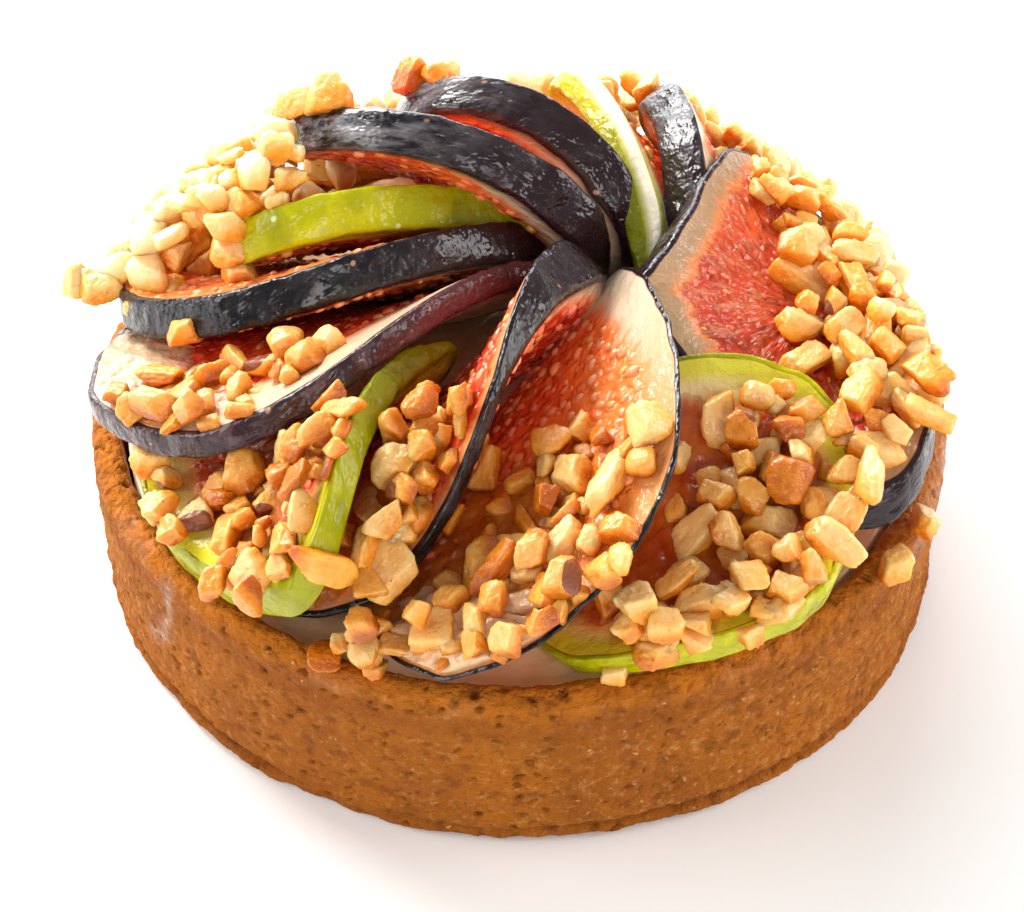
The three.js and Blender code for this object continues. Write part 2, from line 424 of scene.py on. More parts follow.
@dataclass(frozen=True)
class CrustFinish:
    """Baked shortcrust: golden brown and mottled, toasted in patches, with painted light and shade
    on its relief, painted shade under the rim, at the foot and in its pores, and a painted
    highlight on its rim.
    """

    golden: Colour = (0.40, 0.118, 0.004)
    # The browner crust colour: real toasting in patches, and painted shade under the rim, at the
    # foot and in the dips of the specks.
    toasted_and_shaded: Colour = (0.27, 0.072, 0.004)
    # Painted shade for the pores, the crease round the foot and the dips of the grain.
    deep: Colour = (0.12, 0.024, 0.001)
    # Paler crumbs, and painted light on the raised grain.
    pale: Colour = (0.72, 0.37, 0.12)
    # Painted highlight: the brighter colour of the rim's top.
    rim: Colour = (0.54, 0.160, 0.008)

    def build(self) -> bpy.types.Material:
        """Makes the crust's material.

        Returns:
            The material.
        """
        tree = ShaderTree("baked_crust")
        place = tree.place_mm()
        toast = tree.noise(place, 8.0, 3.0, 0.6)
        grain = tree.noise(place, 1.1, 3.0, 0.7)
        speck = tree.noise(tree.vector("MULTIPLY", place, (1.0, 1.0, 1.5)), 0.55, 2.0, 0.6)
        colour = tree.mix(toast.step(0.36, 0.68) * 0.7, self.golden, self.toasted_and_shaded)
        # Painted light and shade on the relief: the raised grain is painted paler and the dips of
        # the specks darker, as light falls on them.
        colour = tree.mix(grain.step(0.5, 0.75) * 0.45, colour, self.pale)
        colour = tree.mix(speck.step(0.48, 0.34) * 0.6, colour, self.toasted_and_shaded)
        # Painted shade in a strip under the rim and at the foot of the wall, with a browner patch
        # of real toasting.
        colour = tree.mix(tree.mark("toast_and_shade") * 0.85, colour, self.toasted_and_shaded)
        # Painted highlight: the rim's top is painted brighter.
        colour = tree.mix(tree.mark("rim") * 0.85, colour, self.rim)
        # Painted shade: the pores, the crease round the foot and the dips of the grain are painted
        # dark.
        colour = tree.mix(tree.mark("pore"), colour, self.deep)
        crumbs = tree.cells(tree.bent(place, 1 / 1.2, 2.0), 1.3)
        crumb_share = crumbs.step(0.20, 0.08) * toast.step(0.48, 0.6) * grain.step(0.4, 0.6)
        colour = tree.mix(crumb_share * 0.85, colour, self.pale)
        lumps = tree.cells(place, 1.3).step(0.75, 0.1)
        height = grain * 0.6 + speck * 0.5 + lumps * 0.35
        rough = 0.85 - tree.mark("wet") * 0.6
        return tree.finish(Base_Color=colour, Roughness=rough, Normal=tree.bump(height, 0.75),
                           Coat_Weight=tree.mark("wet") * 0.3, Coat_Roughness=0.2,
                           Specular_IOR_Level=0.22)


@dataclass(frozen=True)
class CreamFinish:
    """Soft pale cream, with a blush of fig juice."""

    cream: Colour = (0.96, 0.64, 0.38)
    blush: Colour = (0.80, 0.40, 0.17)

    def build(self) -> bpy.types.Material:
        """Makes the cream's material.

        Returns:
            The material.
        """
        tree = ShaderTree("soft_cream")
        place = tree.place_mm()
        stain = tree.noise(place, 7.0, 3.0).step(0.45, 0.75)
        colour = tree.mix(stain * 0.7, self.cream, self.blush)
        bump = tree.bump(tree.noise(place, 2.5, 3.0), 0.4)
        return tree.finish(Base_Color=colour, Roughness=0.35, Normal=bump, Coat_Weight=0.5,
                           Coat_Roughness=0.15)


class FigKind(Enum):
    """The kinds of fig in the pinwheel."""

    BLACK = "black"
    PURPLE = "purple"
    GREEN = "green"


@dataclass(frozen=True)
class FigFinish:
    """A glazed fig slice: skin at its edge, a pale ring, and red seedy pulp."""

    kind: FigKind
    skin: Colour
    bloom: Colour
    flush: Colour
    flesh: Colour
    tint: Colour
    tint_width: float
    gloss: float = 0.42
    pith: Colour = (0.62, 0.36, 0.19)
    tip: Colour = (0.86, 0.68, 0.50)
    # Painted shade: the ring's colour where a slice is turned from the light.
    painted_shade: Colour = (0.33, 0.19, 0.085)
    # Painted shade: the pulp's colour there.
    shade: Colour = (0.30, 0.055, 0.012)
    # Whitish grey streaked on the skin: dried white syrup, and a painted sheen that stands for
    # reflections.
    syrup_and_sheen: Colour = (0.50, 0.47, 0.50)
    fleck: Colour = (0.45, 0.25, 0.14)
    crimson: Colour = (0.60, 0.024, 0.012)
    scarlet: Colour = (0.92, 0.095, 0.022)
    orange: Colour = (0.96, 0.24, 0.045)
    thread: Colour = (0.92, 0.38, 0.19)
    amber: Colour = (0.76, 0.26, 0.03)

    def build(self) -> bpy.types.Material:
        """Makes the slice's material.

        Returns:
            The material.
        """
        tree = ShaderTree(f"{self.kind.value}_fig")
        place = tree.mark("cut_place", "Vector")
        drift = tree.noise(place, 3.0, 2.0)
        threads = tree.noise(tree.mark("outward", "Vector"), 1.1, 2.0, 0.6)
        pulp, pulp_height = self._pulp(tree, place, threads)
        fringe = (tree.noise(place, 1.2, 2.0) - 0.5) * 1.6 + (threads - 0.5) * 3.6
        ripe = tree.mark("ripe") + fringe
        # Painted shade: a slice turned from the light gets a browner ring, less of the pale tip
        # and darker pulp.
        painted_shade = tree.mark("painted_shade") * (0.55 + tree.noise(place, 2.4, 3.0) * 0.9)
        flesh = tree.mix(painted_shade.clamped(), self.flesh, self.painted_shade)
        flesh = tree.mix(tree.mark("stem") * (0.8 - tree.mark("painted_shade") * 0.8), flesh, self.tip)
        inner = tree.mix(ripe.step(-1.6, 0.5) * 0.8, flesh, self.orange)
        pulp = tree.mix(tree.mark("painted_shade") * 0.4, pulp, self.shade)
        face = tree.mix(ripe.step(-0.3, 1.0), inner, pulp)
        face = tree.mix(tree.mark("syrup") * 0.75, face, self.amber)
        depth = tree.mark("depth") + (drift - 0.5) * 0.3
        edge = depth.step(self.tint_width, self.tint_width * 0.4)
        face = tree.mix(edge * 0.85, face, self.tint)
        face = tree.mix(tree.mark("pith"), face, self.pith)
        skin_share = (tree.mark("skin") + depth.step(0.40, 0.18)).clamped()
        colour = tree.mix(skin_share, face, self._skin(tree, place))
        drawn = tree.vector("MULTIPLY", place, (0.7, 1.0, 1.0))
        creased = tree.noise(drawn, 2.6, 3.0, 0.55)
        wrinkle = creased * 1.4 * skin_share
        wet = tree.noise(place, 1.9, 3.0, 0.6) * (1 - skin_share)
        height = pulp_height * ripe.step(0.0, 1.0) * (1 - skin_share) + wrinkle + wet * 0.8
        patch = tree.noise(place, 2.6, 3.0, 0.6).step(0.40, 0.62)
        rough = 0.24 + skin_share * (patch * 0.2 - 0.1)
        return tree.finish(Base_Color=colour, Roughness=rough,
                           Normal=tree.bump(height, 0.55), Coat_Weight=(1 - skin_share) * 0.2,
                           Coat_Roughness=0.12, Specular_IOR_Level=self.gloss)

    def _pulp(self, tree: ShaderTree, place: Wire, threads: Wire) -> tuple[Wire, Wire]:
        """Makes the pulp: soft juicy lumps, and threads that run outwards.

        Args:
            tree: the slice's shader.
            place: where on the slice, in millimetres.
            threads: noise that is drawn out along the spokes from the pulp's middle.

        Returns:
            Its colour and its relief.
        """
        bent = tree.bent(place, 1 / 0.6, 1.0)
        cells = tree.cells(bent, 1.35)
        hues = tree.cells(bent, 1.35, "Color")
        cloud = tree.noise(place, 5.0, 2.0)
        tone = (tree.mark("tone") + (cloud - 0.5) * 1.1).clamped()
        juice = tree.mix(tone.step(0.0, 0.5), self.crimson, self.scarlet)
        juice = tree.mix(tone.step(0.45, 1.0), juice, self.orange)
        hue = tree.vector("DOT_PRODUCT", hues, (0.6, 0.4, 0.0), output=1)
        grains = cells.step(0.60, 0.15) * (0.15 + hue * 0.5)
        colour = tree.mix(grains * 0.6, juice, self.thread)
        stringy = tree.mark("stringy")
        colour = tree.mix(threads.step(0.52, 0.38) * stringy * 0.5, colour, self.crimson)
        strands = threads.step(0.52, 0.72) * stringy
        colour = tree.mix(strands * 0.6, colour, self.thread)
        return colour, cells.step(0.7, 0.1) * 0.6 + strands * 0.3

    def _skin(self, tree: ShaderTree, place: Wire) -> Wire:
        """Makes the skin: mottled, with a dusty bloom and a few flecks, darker towards the stem,
        partly as painted shade, with painted shade on slices turned from the light and whitish
        streaks of dried syrup and painted sheen.

        Args:
            tree: the slice's shader.
            place: where on the slice, in millimetres.

        Returns:
            Its colour.
        """
        cloud = tree.noise(place, 3.0, 4.0, 0.65)
        colour = tree.mix(cloud.step(0.48, 0.62) * 0.9, self.skin, self.bloom)
        blush = tree.noise(tree.vector("ADD", place, (40.0, 7.0, 3.0)), 6.0, 2.0)
        # Darker skin: random blushes are the skin's own colour; towards the stem it is partly its
        # own colour and partly painted shade; on a slice turned from the light it is painted
        # shade.
        shade = (blush.step(0.5, 0.75) * 0.6 + tree.mark("stem") + tree.mark("painted_shade")).clamped()
        colour = tree.mix(shade, colour, self.flush)
        flecks = tree.cells(place, 3.4)
        colour = tree.mix(flecks.step(0.11, 0.06) * 0.8, colour, self.fleck)
        # Whitish grey streaks: dried white syrup on one slice, and a painted sheen that stands for
        # reflections on others.
        streaks = tree.noise(tree.vector("MULTIPLY", place, (0.35, 1.0, 1.0)), 1.6, 4.0, 0.7)
        return tree.mix(streaks.step(0.38, 0.70) * tree.mark("syrup_and_sheen"), colour, self.syrup_and_sheen)


FIG_FINISHES = (
    FigFinish(FigKind.BLACK, skin=(0.004, 0.003, 0.005), bloom=(0.022, 0.020, 0.025),
              flush=(0.018, 0.006, 0.009), flesh=(0.66, 0.34, 0.15), tint=(0.55, 0.26, 0.15),
              tint_width=0.5),
    FigFinish(FigKind.PURPLE, skin=(0.035, 0.012, 0.016), bloom=(0.09, 0.05, 0.055),
              flush=(0.10, 0.02, 0.025), flesh=(0.80, 0.56, 0.36), tint=(0.74, 0.46, 0.32),
              tint_width=0.5),
    FigFinish(FigKind.GREEN, skin=(0.45, 0.45, 0.001), bloom=(0.58, 0.56, 0.003),
              flush=(0.20, 0.21, 0.001), flesh=(0.80, 0.68, 0.20), tint=(0.68, 0.66, 0.005),
              tint_width=3.4, gloss=0.3, pith=(0.88, 0.80, 0.62), fleck=(0.7, 0.75, 0.4)),
)


@dataclass(frozen=True)
class SeedFinish:
    """Fig seeds in their juice: pink to orange, with a few pale yellow ones."""

    crimson: Colour = (0.74, 0.07, 0.035)
    scarlet: Colour = (0.90, 0.19, 0.065)
    orange: Colour = (0.94, 0.34, 0.11)
    pink: Colour = (0.94, 0.44, 0.24)
    yellow: Colour = (0.80, 0.42, 0.08)

    def build(self) -> bpy.types.Material:
        """Makes the seeds' material.

        Returns:
            The material.
        """
        tree = ShaderTree("fig_seed")
        tone = (tree.mark("tone") + tree.noise(tree.place_mm(), 3.0) * 0.5 - 0.25).clamped()
        colour = tree.mix(tone.step(0.0, 0.5), self.crimson, self.scarlet)
        colour = tree.mix(tone.step(0.45, 1.0), colour, self.orange)
        chance = tree.mark("chance")
        colour = tree.mix(chance.step(0.3, 0.9) * 0.6, colour, self.pink)
        colour = tree.mix(chance.step(0.94, 0.95), colour, self.yellow)
        bump = tree.bump(tree.noise(tree.place_mm(), 0.5, 2.0), 0.1)
        return tree.finish(Base_Color=colour, Roughness=0.3, Normal=bump, Coat_Weight=0.2,
                           Coat_Roughness=0.1)


@dataclass(frozen=True)
class SyrupFinish:
    """Fig syrup between the nuts: clear amber where thin, dark where deep."""

    amber: Colour = (0.86, 0.31, 0.03)
    dark: Colour = (0.42, 0.055, 0.006)
    milk: Colour = (0.90, 0.68, 0.42)

    def build(self) -> bpy.types.Material:
        """Makes the syrup's material.

        Returns:
            The material.
        """
        tree = ShaderTree("amber_syrup")
        place = tree.place_mm()
        cloud = tree.noise(place, 2.5, 3.0)
        dark = (tree.mark("dark") + (cloud - 0.5) * 1.2).clamped()
        colour = tree.mix(dark, self.amber, self.dark)
        milk = (tree.mark("milk") + (cloud - 0.5) * tree.mark("milk")).clamped()
        colour = tree.mix(milk, colour, self.milk)
        bump = tree.bump(tree.noise(place, 1.6, 3.0), 0.7)
        share = (tree.mark("depth") + (cloud - 0.5) * 0.4).clamped()
        return tree.finish(Base_Color=colour, Roughness=0.12, Normal=bump, Alpha=share,
                           Coat_Weight=0.2, Coat_Roughness=0.1)


@dataclass(frozen=True)
class NutFinish:
    """Chopped roasted nuts, wet with syrup: cream to amber, some with brown husk left on."""

    name: str = "chopped_nut"
    cream: Colour = (0.92, 0.58, 0.22)
    gold: Colour = (0.90, 0.42, 0.060)
    amber: Colour = (0.80, 0.25, 0.008)
    toast: Colour = (0.52, 0.12, 0.003)
    husk: Colour = (0.26, 0.075, 0.030)

    def build(self) -> bpy.types.Material:
        """Makes the nuts' material.

        Returns:
            The material.
        """
        tree = ShaderTree(self.name)
        place = tree.place_mm()
        cloud = tree.noise(place, 1.6, 4.0, 0.65)
        tone = (tree.mark("tone") + (cloud - 0.5) * 0.8).clamped()
        colour = tree.ramp(tone, (0.0, self.cream), (0.38, self.gold), (0.72, self.amber),
                           (1.0, self.toast))
        specks = tree.cells(place, 1.1).step(0.13, 0.06) * cloud.step(0.45, 0.6)
        colour = tree.mix(specks * 0.7, colour, self.husk)
        husk = (tree.mark("husk") + (tree.noise(place, 0.9, 2.0) - 0.5) * 0.5).step(0.45, 0.6)
        colour = tree.mix(husk, colour, self.husk)
        height = tree.noise(place, 0.8, 3.0, 0.65)
        return tree.finish(Base_Color=colour, Roughness=0.24, Normal=tree.bump(height, 0.28),
                           Coat_Weight=0.15, Coat_Roughness=0.15, Subsurface_Weight=0.45,
                           Subsurface_Radius=(0.0024, 0.0015, 0.0008), Subsurface_Scale=1.0)


NUT_FINISHES = (
    NutFinish(),
    # A darker copy for the nuts on the front slices: partly wet with syrup, partly painted shade
    # where the front of the tart is less lit.
    NutFinish("glazed_shaded_nut", cream=(0.80, 0.50, 0.18), gold=(0.76, 0.34, 0.045),
              amber=(0.64, 0.19, 0.007), toast=(0.44, 0.10, 0.003)),
    # A paler copy for the heaps at the back and left: painted light where they are lit from
    # behind.
    NutFinish("lit_pale_nut", cream=(0.97, 0.78, 0.44), gold=(0.96, 0.60, 0.17),
              amber=(0.88, 0.36, 0.03), toast=(0.58, 0.15, 0.005)),
)


# ------------------------------------------------------------------ shell


@dataclass
class Shell:
    """The baked shell: straight wall, rounded rim, pores and a crease round its foot.

    A wave is its number of lobes, its depth in millimetres and its turn in degrees. The
    reliefs are the depths of slow, grainy and coarse lumps. toast_at and wet_at are the
    bearings of the browner side and of a run of syrup down the wall, in degrees.
    """

    radius: float = 45.0
    height: float = 20.0
    wall: float = 3.3
    floor: float = 3.2
    foot: float = 0.8
    around: int = 960
    wall_rows: int = 66
    rim_rows: int = 14
    inner_rows: int = 8
    radius_waves: tuple[Wave, ...] = ((2, 0.35, 150.0), (5, 0.15, 40.0))
    rim_waves: tuple[Wave, ...] = ((3, 0.3, 20.0), (7, 0.2, 75.0))
    reliefs: tuple[float, float, float] = (0.22, 0.18, 0.18)
    crease_height: float = 1.7
    crease_depth: float = 0.65
    lip: float = 0.30
    pore_size: float = 1.9
    pore_depth: float = 0.65
    pore_shift: float = 11.0
    toast_at: float = -117.0
    toast_spread: float = 14.0
    wet_at: float = -139.0
    wet_spread: float = 1.6

    @staticmethod
    def wave(waves: tuple[Wave, ...], angles: np.ndarray) -> np.ndarray:
        """The sum of some waves round the axis."""
        return sum(depth * np.cos(lobes * (angles - math.radians(turn)))
                   for lobes, depth, turn in waves)

    def profile(self) -> np.ndarray:
        """The wall's section, from the middle of the underside to the middle of the floor.

        Returns:
            Rows of radius, height, and how far each row shows (1) or is hidden (0).
        """
        inner = self.radius - self.wall
        rim = self.wall / 2
        rows = [(r, 0.0, 0.5) for r in np.linspace(4, self.radius - self.foot, 8)]
        for angle in np.linspace(-75, -5, 4):
            turn = math.radians(angle)
            rows.append((self.radius - self.foot + self.foot * math.cos(turn),
                         self.foot + self.foot * math.sin(turn), 1.0))
        top = self.height - rim
        rows += [(self.radius, z, 1.0) for z in np.linspace(self.foot, top, self.wall_rows)]
        for angle in np.linspace(0, 180, self.rim_rows)[1:]:
            turn = math.radians(angle)
            rows.append((self.radius - rim + rim * math.cos(turn),
                         top + rim * math.sin(turn), 1.0))
        rows += [(inner, z, 0.3) for z in np.linspace(top, self.floor, self.inner_rows)[1:]]
        rows += [(r, self.floor, 0.0) for r in np.linspace(inner, 4, 6)[1:]]
        return np.array(rows)

    def build(self, material: bpy.types.Material) -> bpy.types.Object:
        """Makes the shell.

        Args:
            material: the crust.

        Returns:
            The piece.
        """
        profile = self.profile()
        angles = np.linspace(0, 2 * math.pi, self.around, endpoint=False)
        radii = np.repeat(profile[:, :1], self.around, 1)
        heights = np.repeat(profile[:, 1:2], self.around, 1)
        shows = np.repeat(profile[:, 2:3], self.around, 1).ravel()
        radii = radii * (1 + self.wave(self.radius_waves, angles) / self.radius)
        lift = np.clip((heights - self.floor) / (self.height - self.floor), 0, 1.2)
        heights = heights + self.wave(self.rim_waves, angles) * lift
        spots = np.stack([radii * np.cos(angles), radii * np.sin(angles), heights], -1)
        spots = spots.reshape(-1, 3)
        outward = self._outward(profile, angles)
        push, pore = self._relief(spots, shows)
        corners = spots + outward * push[:, None]
        corners[:, 2] = np.maximum(corners[:, 2], 0.0)
        tips = np.array([[0, 0, 0], [0, 0, self.floor]])
        corners = np.vstack([corners, tips])
        marks = {"pore": pore, "rim": self._rim_mark(spots), "wet": self._wet_mark(spots),
                 "toast_and_shade": self._toast_and_shade_mark(spots)}
        marks = {name: np.append(values, [0, 0]) for name, values in marks.items()}
        faces = ring_faces(len(profile), self.around)
        piece = make_piece("baked_shell", corners, faces, marks)
        return dress(piece, material, "crust", "shell")

    def _outward(self, profile: np.ndarray, angles: np.ndarray) -> np.ndarray:
        """Works out which way the surface faces.

        Args:
            profile: the wall's section.
            angles: the bearings of the corners in each ring, in radians.

        Returns:
            The direction out of the surface at each corner.
        """
        along = np.gradient(profile[:, :2], axis=0)
        along /= np.linalg.norm(along, axis=1, keepdims=True)
        out, up = along[:, 1], -along[:, 0]
        grid = np.stack([np.outer(out, np.cos(angles)), np.outer(out, np.sin(angles)),
                         np.repeat(up[:, None], len(angles), 1)], -1)
        return grid.reshape(-1, 3)

    def _relief(self, spots: np.ndarray, shows: np.ndarray) -> tuple[np.ndarray, np.ndarray]:
        """Works out the crust's relief.

        Args:
            spots: the corners of the smooth shell.
            shows: how far each of them shows, from 0 to 1.

        Returns:
            How far each corner stands out, and how much painted shade it gets in the pores, the
            crease round the foot and the dips of the grain.
        """
        seen = shows > 0.2
        push = np.zeros(len(spots))
        pore = np.zeros(len(spots))
        near = spots[seen]
        lumps = (smooth_noise(near, 13.0), smooth_noise(near + 50, 1.7, 4),
                 smooth_noise(near * (1, 1, 1.6) + 90, 4.5, 2))
        bend = np.stack([smooth_noise(near + shift, 1.3) for shift in (10, 25, 40)], -1)
        depth = np.array([self._pore(Vector(spot)) for spot in near + bend * 0.45])
        wobble = smooth_noise(near * (1, 1, 0), 9.0) * 0.5
        low = near[:, 2] - self.crease_height - wobble
        crease = np.exp(-((low / 0.3) ** 2))
        lip = np.exp(-(((low + 0.8) / 0.5) ** 2))
        wall = (near[:, 2] > 0.3) & (np.hypot(near[:, 0], near[:, 1]) > self.radius - 2)
        strength = smooth_step(lumps[0], -0.6, 0.2) * wall
        push[seen] = (sum(share * lump for share, lump in zip(self.reliefs, lumps))
                      - self.pore_depth * depth
                      + (self.lip * lip - self.crease_depth * crease) * strength)
        # Painted shade: the low parts of the grain, the pores and the crease are marked to be
        # painted dark.
        hollow = smooth_step(-lumps[1], 0.15, 0.7) * 0.45
        pore[seen] = np.clip(0.8 * depth + 0.6 * crease * strength + hollow, 0, 1)
        return push * np.where(shows > 0.9, 1.0, 0.4), pore

    def _pore(self, spot: Vector) -> float:
        """Works out whether a place is in a pore.

        Args:
            spot: the place, in millimetres.

        Returns:
            How deep it is in the nearest pore, from 0 to 1.
        """
        squashed = Vector((spot.x, spot.y, spot.z * 1.8)) / self.pore_size
        distances, points = noise.voronoi(squashed)
        chance = noise.noise(points[0] * 3.7 + Vector((self.pore_shift,) * 3))
        if chance < -0.08:
            return 0.0
        reach = 0.16 + 0.30 * chance
        return max(0.0, 1.0 - (distances[0] / reach) ** 3)

    def _rim_mark(self, spots: np.ndarray) -> np.ndarray:
        """How far each corner is painted brighter, as a painted highlight on the rim's top, less
        towards its outer edge.
        """
        radius = np.hypot(spots[:, 0], spots[:, 1])
        top = smooth_step(spots[:, 2], self.height - 2.0, self.height - 0.6)
        inside = smooth_step(-radius, -(self.radius - 0.4), -(self.radius - 1.6))
        return np.clip(top * (0.4 + 0.6 * inside) + 0.35 * smooth_noise(spots, 4.0, 2) * top, 0, 1)

    def _toast_and_shade_mark(self, spots: np.ndarray) -> np.ndarray:
        """Finds where the crust is painted darker: painted shade in a strip under the rim and at
        the foot of the wall, and a browner patch of real toasting round toast_at.

        Args:
            spots: the corners of the smooth shell.

        Returns:
            How far each of them is painted darker, from 0 to 1.
        """
        drift = smooth_noise(spots * (1, 1, 0) + 15, 7.0, 2)
        under = np.exp(-(((spots[:, 2] - self.height + 3.4 - drift) / 1.5) ** 2))
        foot = smooth_step(-spots[:, 2], -3.5, -0.5)
        angles = np.degrees(np.arctan2(spots[:, 1], spots[:, 0]))
        toast = np.exp(-(((angles - self.toast_at) / self.toast_spread) ** 2)) * 0.55
        return np.clip(0.75 * under + 0.6 * foot + toast * (1 + drift), 0, 1)

    def _wet_mark(self, spots: np.ndarray) -> np.ndarray:
        """Finds where syrup has run over the crust.

        Args:
            spots: the corners of the smooth shell.

        Returns:
            How wet each of them is, from 0 to 1.
        """
        angles = np.degrees(np.arctan2(spots[:, 1], spots[:, 0]))
        radius = np.hypot(spots[:, 0], spots[:, 1])
        drift = smooth_noise(spots + 30, 5.0, 2) * 3.0
        wall = smooth_step(radius, self.radius - 1.2, self.radius - 0.6)
        away = angles - self.wet_at + (self.height - spots[:, 2]) * 0.5 + drift
        streak = np.exp(-((away / self.wet_spread) ** 2))
        run = smooth_step(spots[:, 2], 6.0, 10.0)
        right = smooth_step(angles, -36, -26) * smooth_step(spots[:, 2], 12.0, 17.0)
        right *= smooth_step(-angles, -20, 0)
        inside = smooth_step(-radius, -(self.radius - 2.0), -(self.radius - 3.2)) * 0.6
        damp = smooth_step(smooth_noise(spots + 70, 8.0, 2), 0.1, 0.5) * 0.5
        top = smooth_step(spots[:, 2], self.height - 3.0, self.height - 1.0)
        return np.clip(streak * run * wall + right * 0.7 + inside + damp * top, 0, 1)


# ------------------------------------------------------------------ fig slices


CROWN = np.array([9.0, 2.0, 33.0])
SKIN_BULGE = 0.45
CORNER = 0.35
OUTLINE_FULLNESS = 0.6
OUTLINE_WOBBLE = 0.45
PULP_RELIEF = 0.3
SKIN_RELIEF = 0.16
PEEL_DEPTH = 3.0
SPOKE_REACH = 14.0
SPOKE_STRETCH = 4.0
TONE_SLOPE = 0.018


@dataclass
class FigSlice:
    """One fig slice: a thin teardrop that dips outwards and leans on the next slice.

    stem is its stem end, from the crown; heading the compass direction of its long axis;
    dip its slope below level and bank the roll of its leading edge, both at the stem end
    and at the round end; size its length and width; thickness that at the two ends; belly
    the share of the length where it is widest; bevel how far its underside is drawn in;
    ring how wide the pale flesh is at the stem end, along the sides and at the round end;
    tone how orange its pulp is, and stringy how much of it is threads, from 0 to 1; syrup
    how much syrup lies on its round half; thin where along it, from 0 to 1, it has come
    down to its thickness at the round end; peel the share of its edge, from the cut face
    down, that shows flesh where the knife has taken the skin off; flare how far its
    underside stands out past its cut face on the trailing side; dusk how much painted shade
    darkens its ring, pulp and skin where it lies turned from the light, and film how much
    whitish grey is streaked on its skin towards the round end, dried white syrup on one
    slice and a painted sheen on others, both from 0 to 1; neck half its width at the stem end.
    """

    node: str
    kind: FigKind
    stem: tuple[float, float, float]
    heading: float
    dip: tuple[float, float]
    bank: tuple[float, float]
    size: tuple[float, float]
    thickness: tuple[float, float]
    belly: float
    bevel: float = 0.0
    ring: tuple[float, float, float] = (7.0, 2.4, 2.6)
    tone: float = 0.35
    stringy: float = 0.2
    syrup: float = 0.0
    thin: float = 1.0
    peel: float = 0.0
    flare: float = 0.0
    painted_shade: float = 0.0
    syrup_and_sheen: float = 0.0
    neck: float = 1.6
    around: int = 200
    face_rows: int = 46
    edge_rows: int = 9
    back_rows: int = 16

    def frame_at(self, share: np.ndarray) -> tuple[np.ndarray, np.ndarray, np.ndarray]:
        """The slice's middle surface.

        Args:
            share: places along its length, from 0 to 1.

        Returns:
            Points on the long axis, directions to the leading edge, and directions out of
            the cut face.
        """
        heading = math.radians(self.heading)
        dip_start, dip_end = (math.radians(angle) for angle in self.dip)
        bank_start, bank_end = (math.radians(angle) for angle in self.bank)
        rate = dip_end - dip_start
        dip = (dip_start + rate * share)[:, None]
        bank = (bank_start + (bank_end - bank_start) * share)[:, None]
        outward = np.array([math.cos(heading), math.sin(heading), 0.0])
        sideways = np.array([-outward[1], outward[0], 0.0])
        upward = np.array([0.0, 0.0, 1.0])
        reach = self.size[0] * (np.sin(dip) - math.sin(dip_start)) / rate
        drop = self.size[0] * (np.cos(dip) - math.cos(dip_start)) / rate
        centre = CROWN + np.array(self.stem) + outward * reach + upward * drop
        lift = outward * np.sin(dip) + upward * np.cos(dip)
        across = sideways * np.cos(bank) + lift * np.sin(bank)
        normal = lift * np.cos(bank) - sideways * np.sin(bank)
        return centre, across, normal

    def place(self, along: np.ndarray, across: np.ndarray, height: np.ndarray) -> np.ndarray:
        """Places on the slice as corners.

        Args:
            along: millimetres from the stem end.
            across: millimetres towards the leading edge.
            height: millimetres out of the cut face, from the middle surface.

        Returns:
            n x 3 places in the tart's frame, in millimetres.
        """
        centre, sideways, normal = self.frame_at(along / self.size[0])
        return centre + sideways * across[:, None] + normal * height[:, None]

    def half_thickness(self, along: np.ndarray) -> np.ndarray:
        """Half the slice's thickness at places along it."""
        return np.interp(along, (0, self.size[0] * self.thin), self.thickness) / 2

    def swell(self, share: np.ndarray) -> np.ndarray:
        """Half the slice's width at shares of its length, before its neck and its wobble."""
        power = math.log(0.5) / math.log(self.belly)
        full = np.clip(np.sin(math.pi * share ** power), 0, 1) ** OUTLINE_FULLNESS
        return self.size[1] / 2 * full

    def outline(self) -> np.ndarray:
        """Draws the slice's outline.

        Returns:
            Places along and across, once round from the stem end.
        """
        turn = np.linspace(0, 2 * math.pi, self.around, endpoint=False)
        share = 0.5 - 0.5 * np.cos(turn)
        half = np.hypot(self.swell(share), self.neck * (1 - share))
        half = half * np.tanh(6 * np.abs(np.sin(turn)))
        across = np.where(turn < math.pi, half, -half)
        points = np.stack([share * self.size[0], across], -1)
        for _ in range(12):
            points = (np.roll(points, 1, 0) + 2 * points + np.roll(points, -1, 0)) / 4
        spot = np.column_stack([points, np.full(len(points), self.heading)])
        wobble = smooth_noise(spot, 7.0, 2) * OUTLINE_WOBBLE
        return points + self.edge_normals(points) * wobble[:, None]

    @staticmethod
    def edge_normals(outline: np.ndarray) -> np.ndarray:
        """The outward directions round an outline."""
        ahead = np.roll(outline, -1, 0) - np.roll(outline, 1, 0)
        ahead /= np.linalg.norm(ahead, axis=1, keepdims=True) + 1e-9
        return np.stack([-ahead[:, 1], ahead[:, 0]], -1)

    def heart(self) -> np.ndarray:
        """The middle of the pulp: along and across."""
        return np.array([self.belly * self.size[0], 0.0])

    def edge_reach(self, points: np.ndarray) -> np.ndarray:
        """Measures the slice on its cut face.

        Args:
            points: places along and across.

        Returns:
            How far the outline is from the pulp's middle, the way each of them lies.
        """
        spokes = self.outline() - self.heart()
        bearings = np.arctan2(*spokes.T[::-1])
        order = np.argsort(bearings)
        reaches = np.linalg.norm(spokes, axis=1)
        return np.interp(np.arctan2(*(points - self.heart()).T[::-1]), bearings[order],
                         reaches[order], period=2 * math.pi)

    def ring_width(self, along: np.ndarray) -> np.ndarray:
        """The width of the pale ring at places along the slice."""
        share = np.clip(along / self.size[0], 0, 1)
        return np.interp(share, [0, self.belly * 0.8, 1], self.ring)

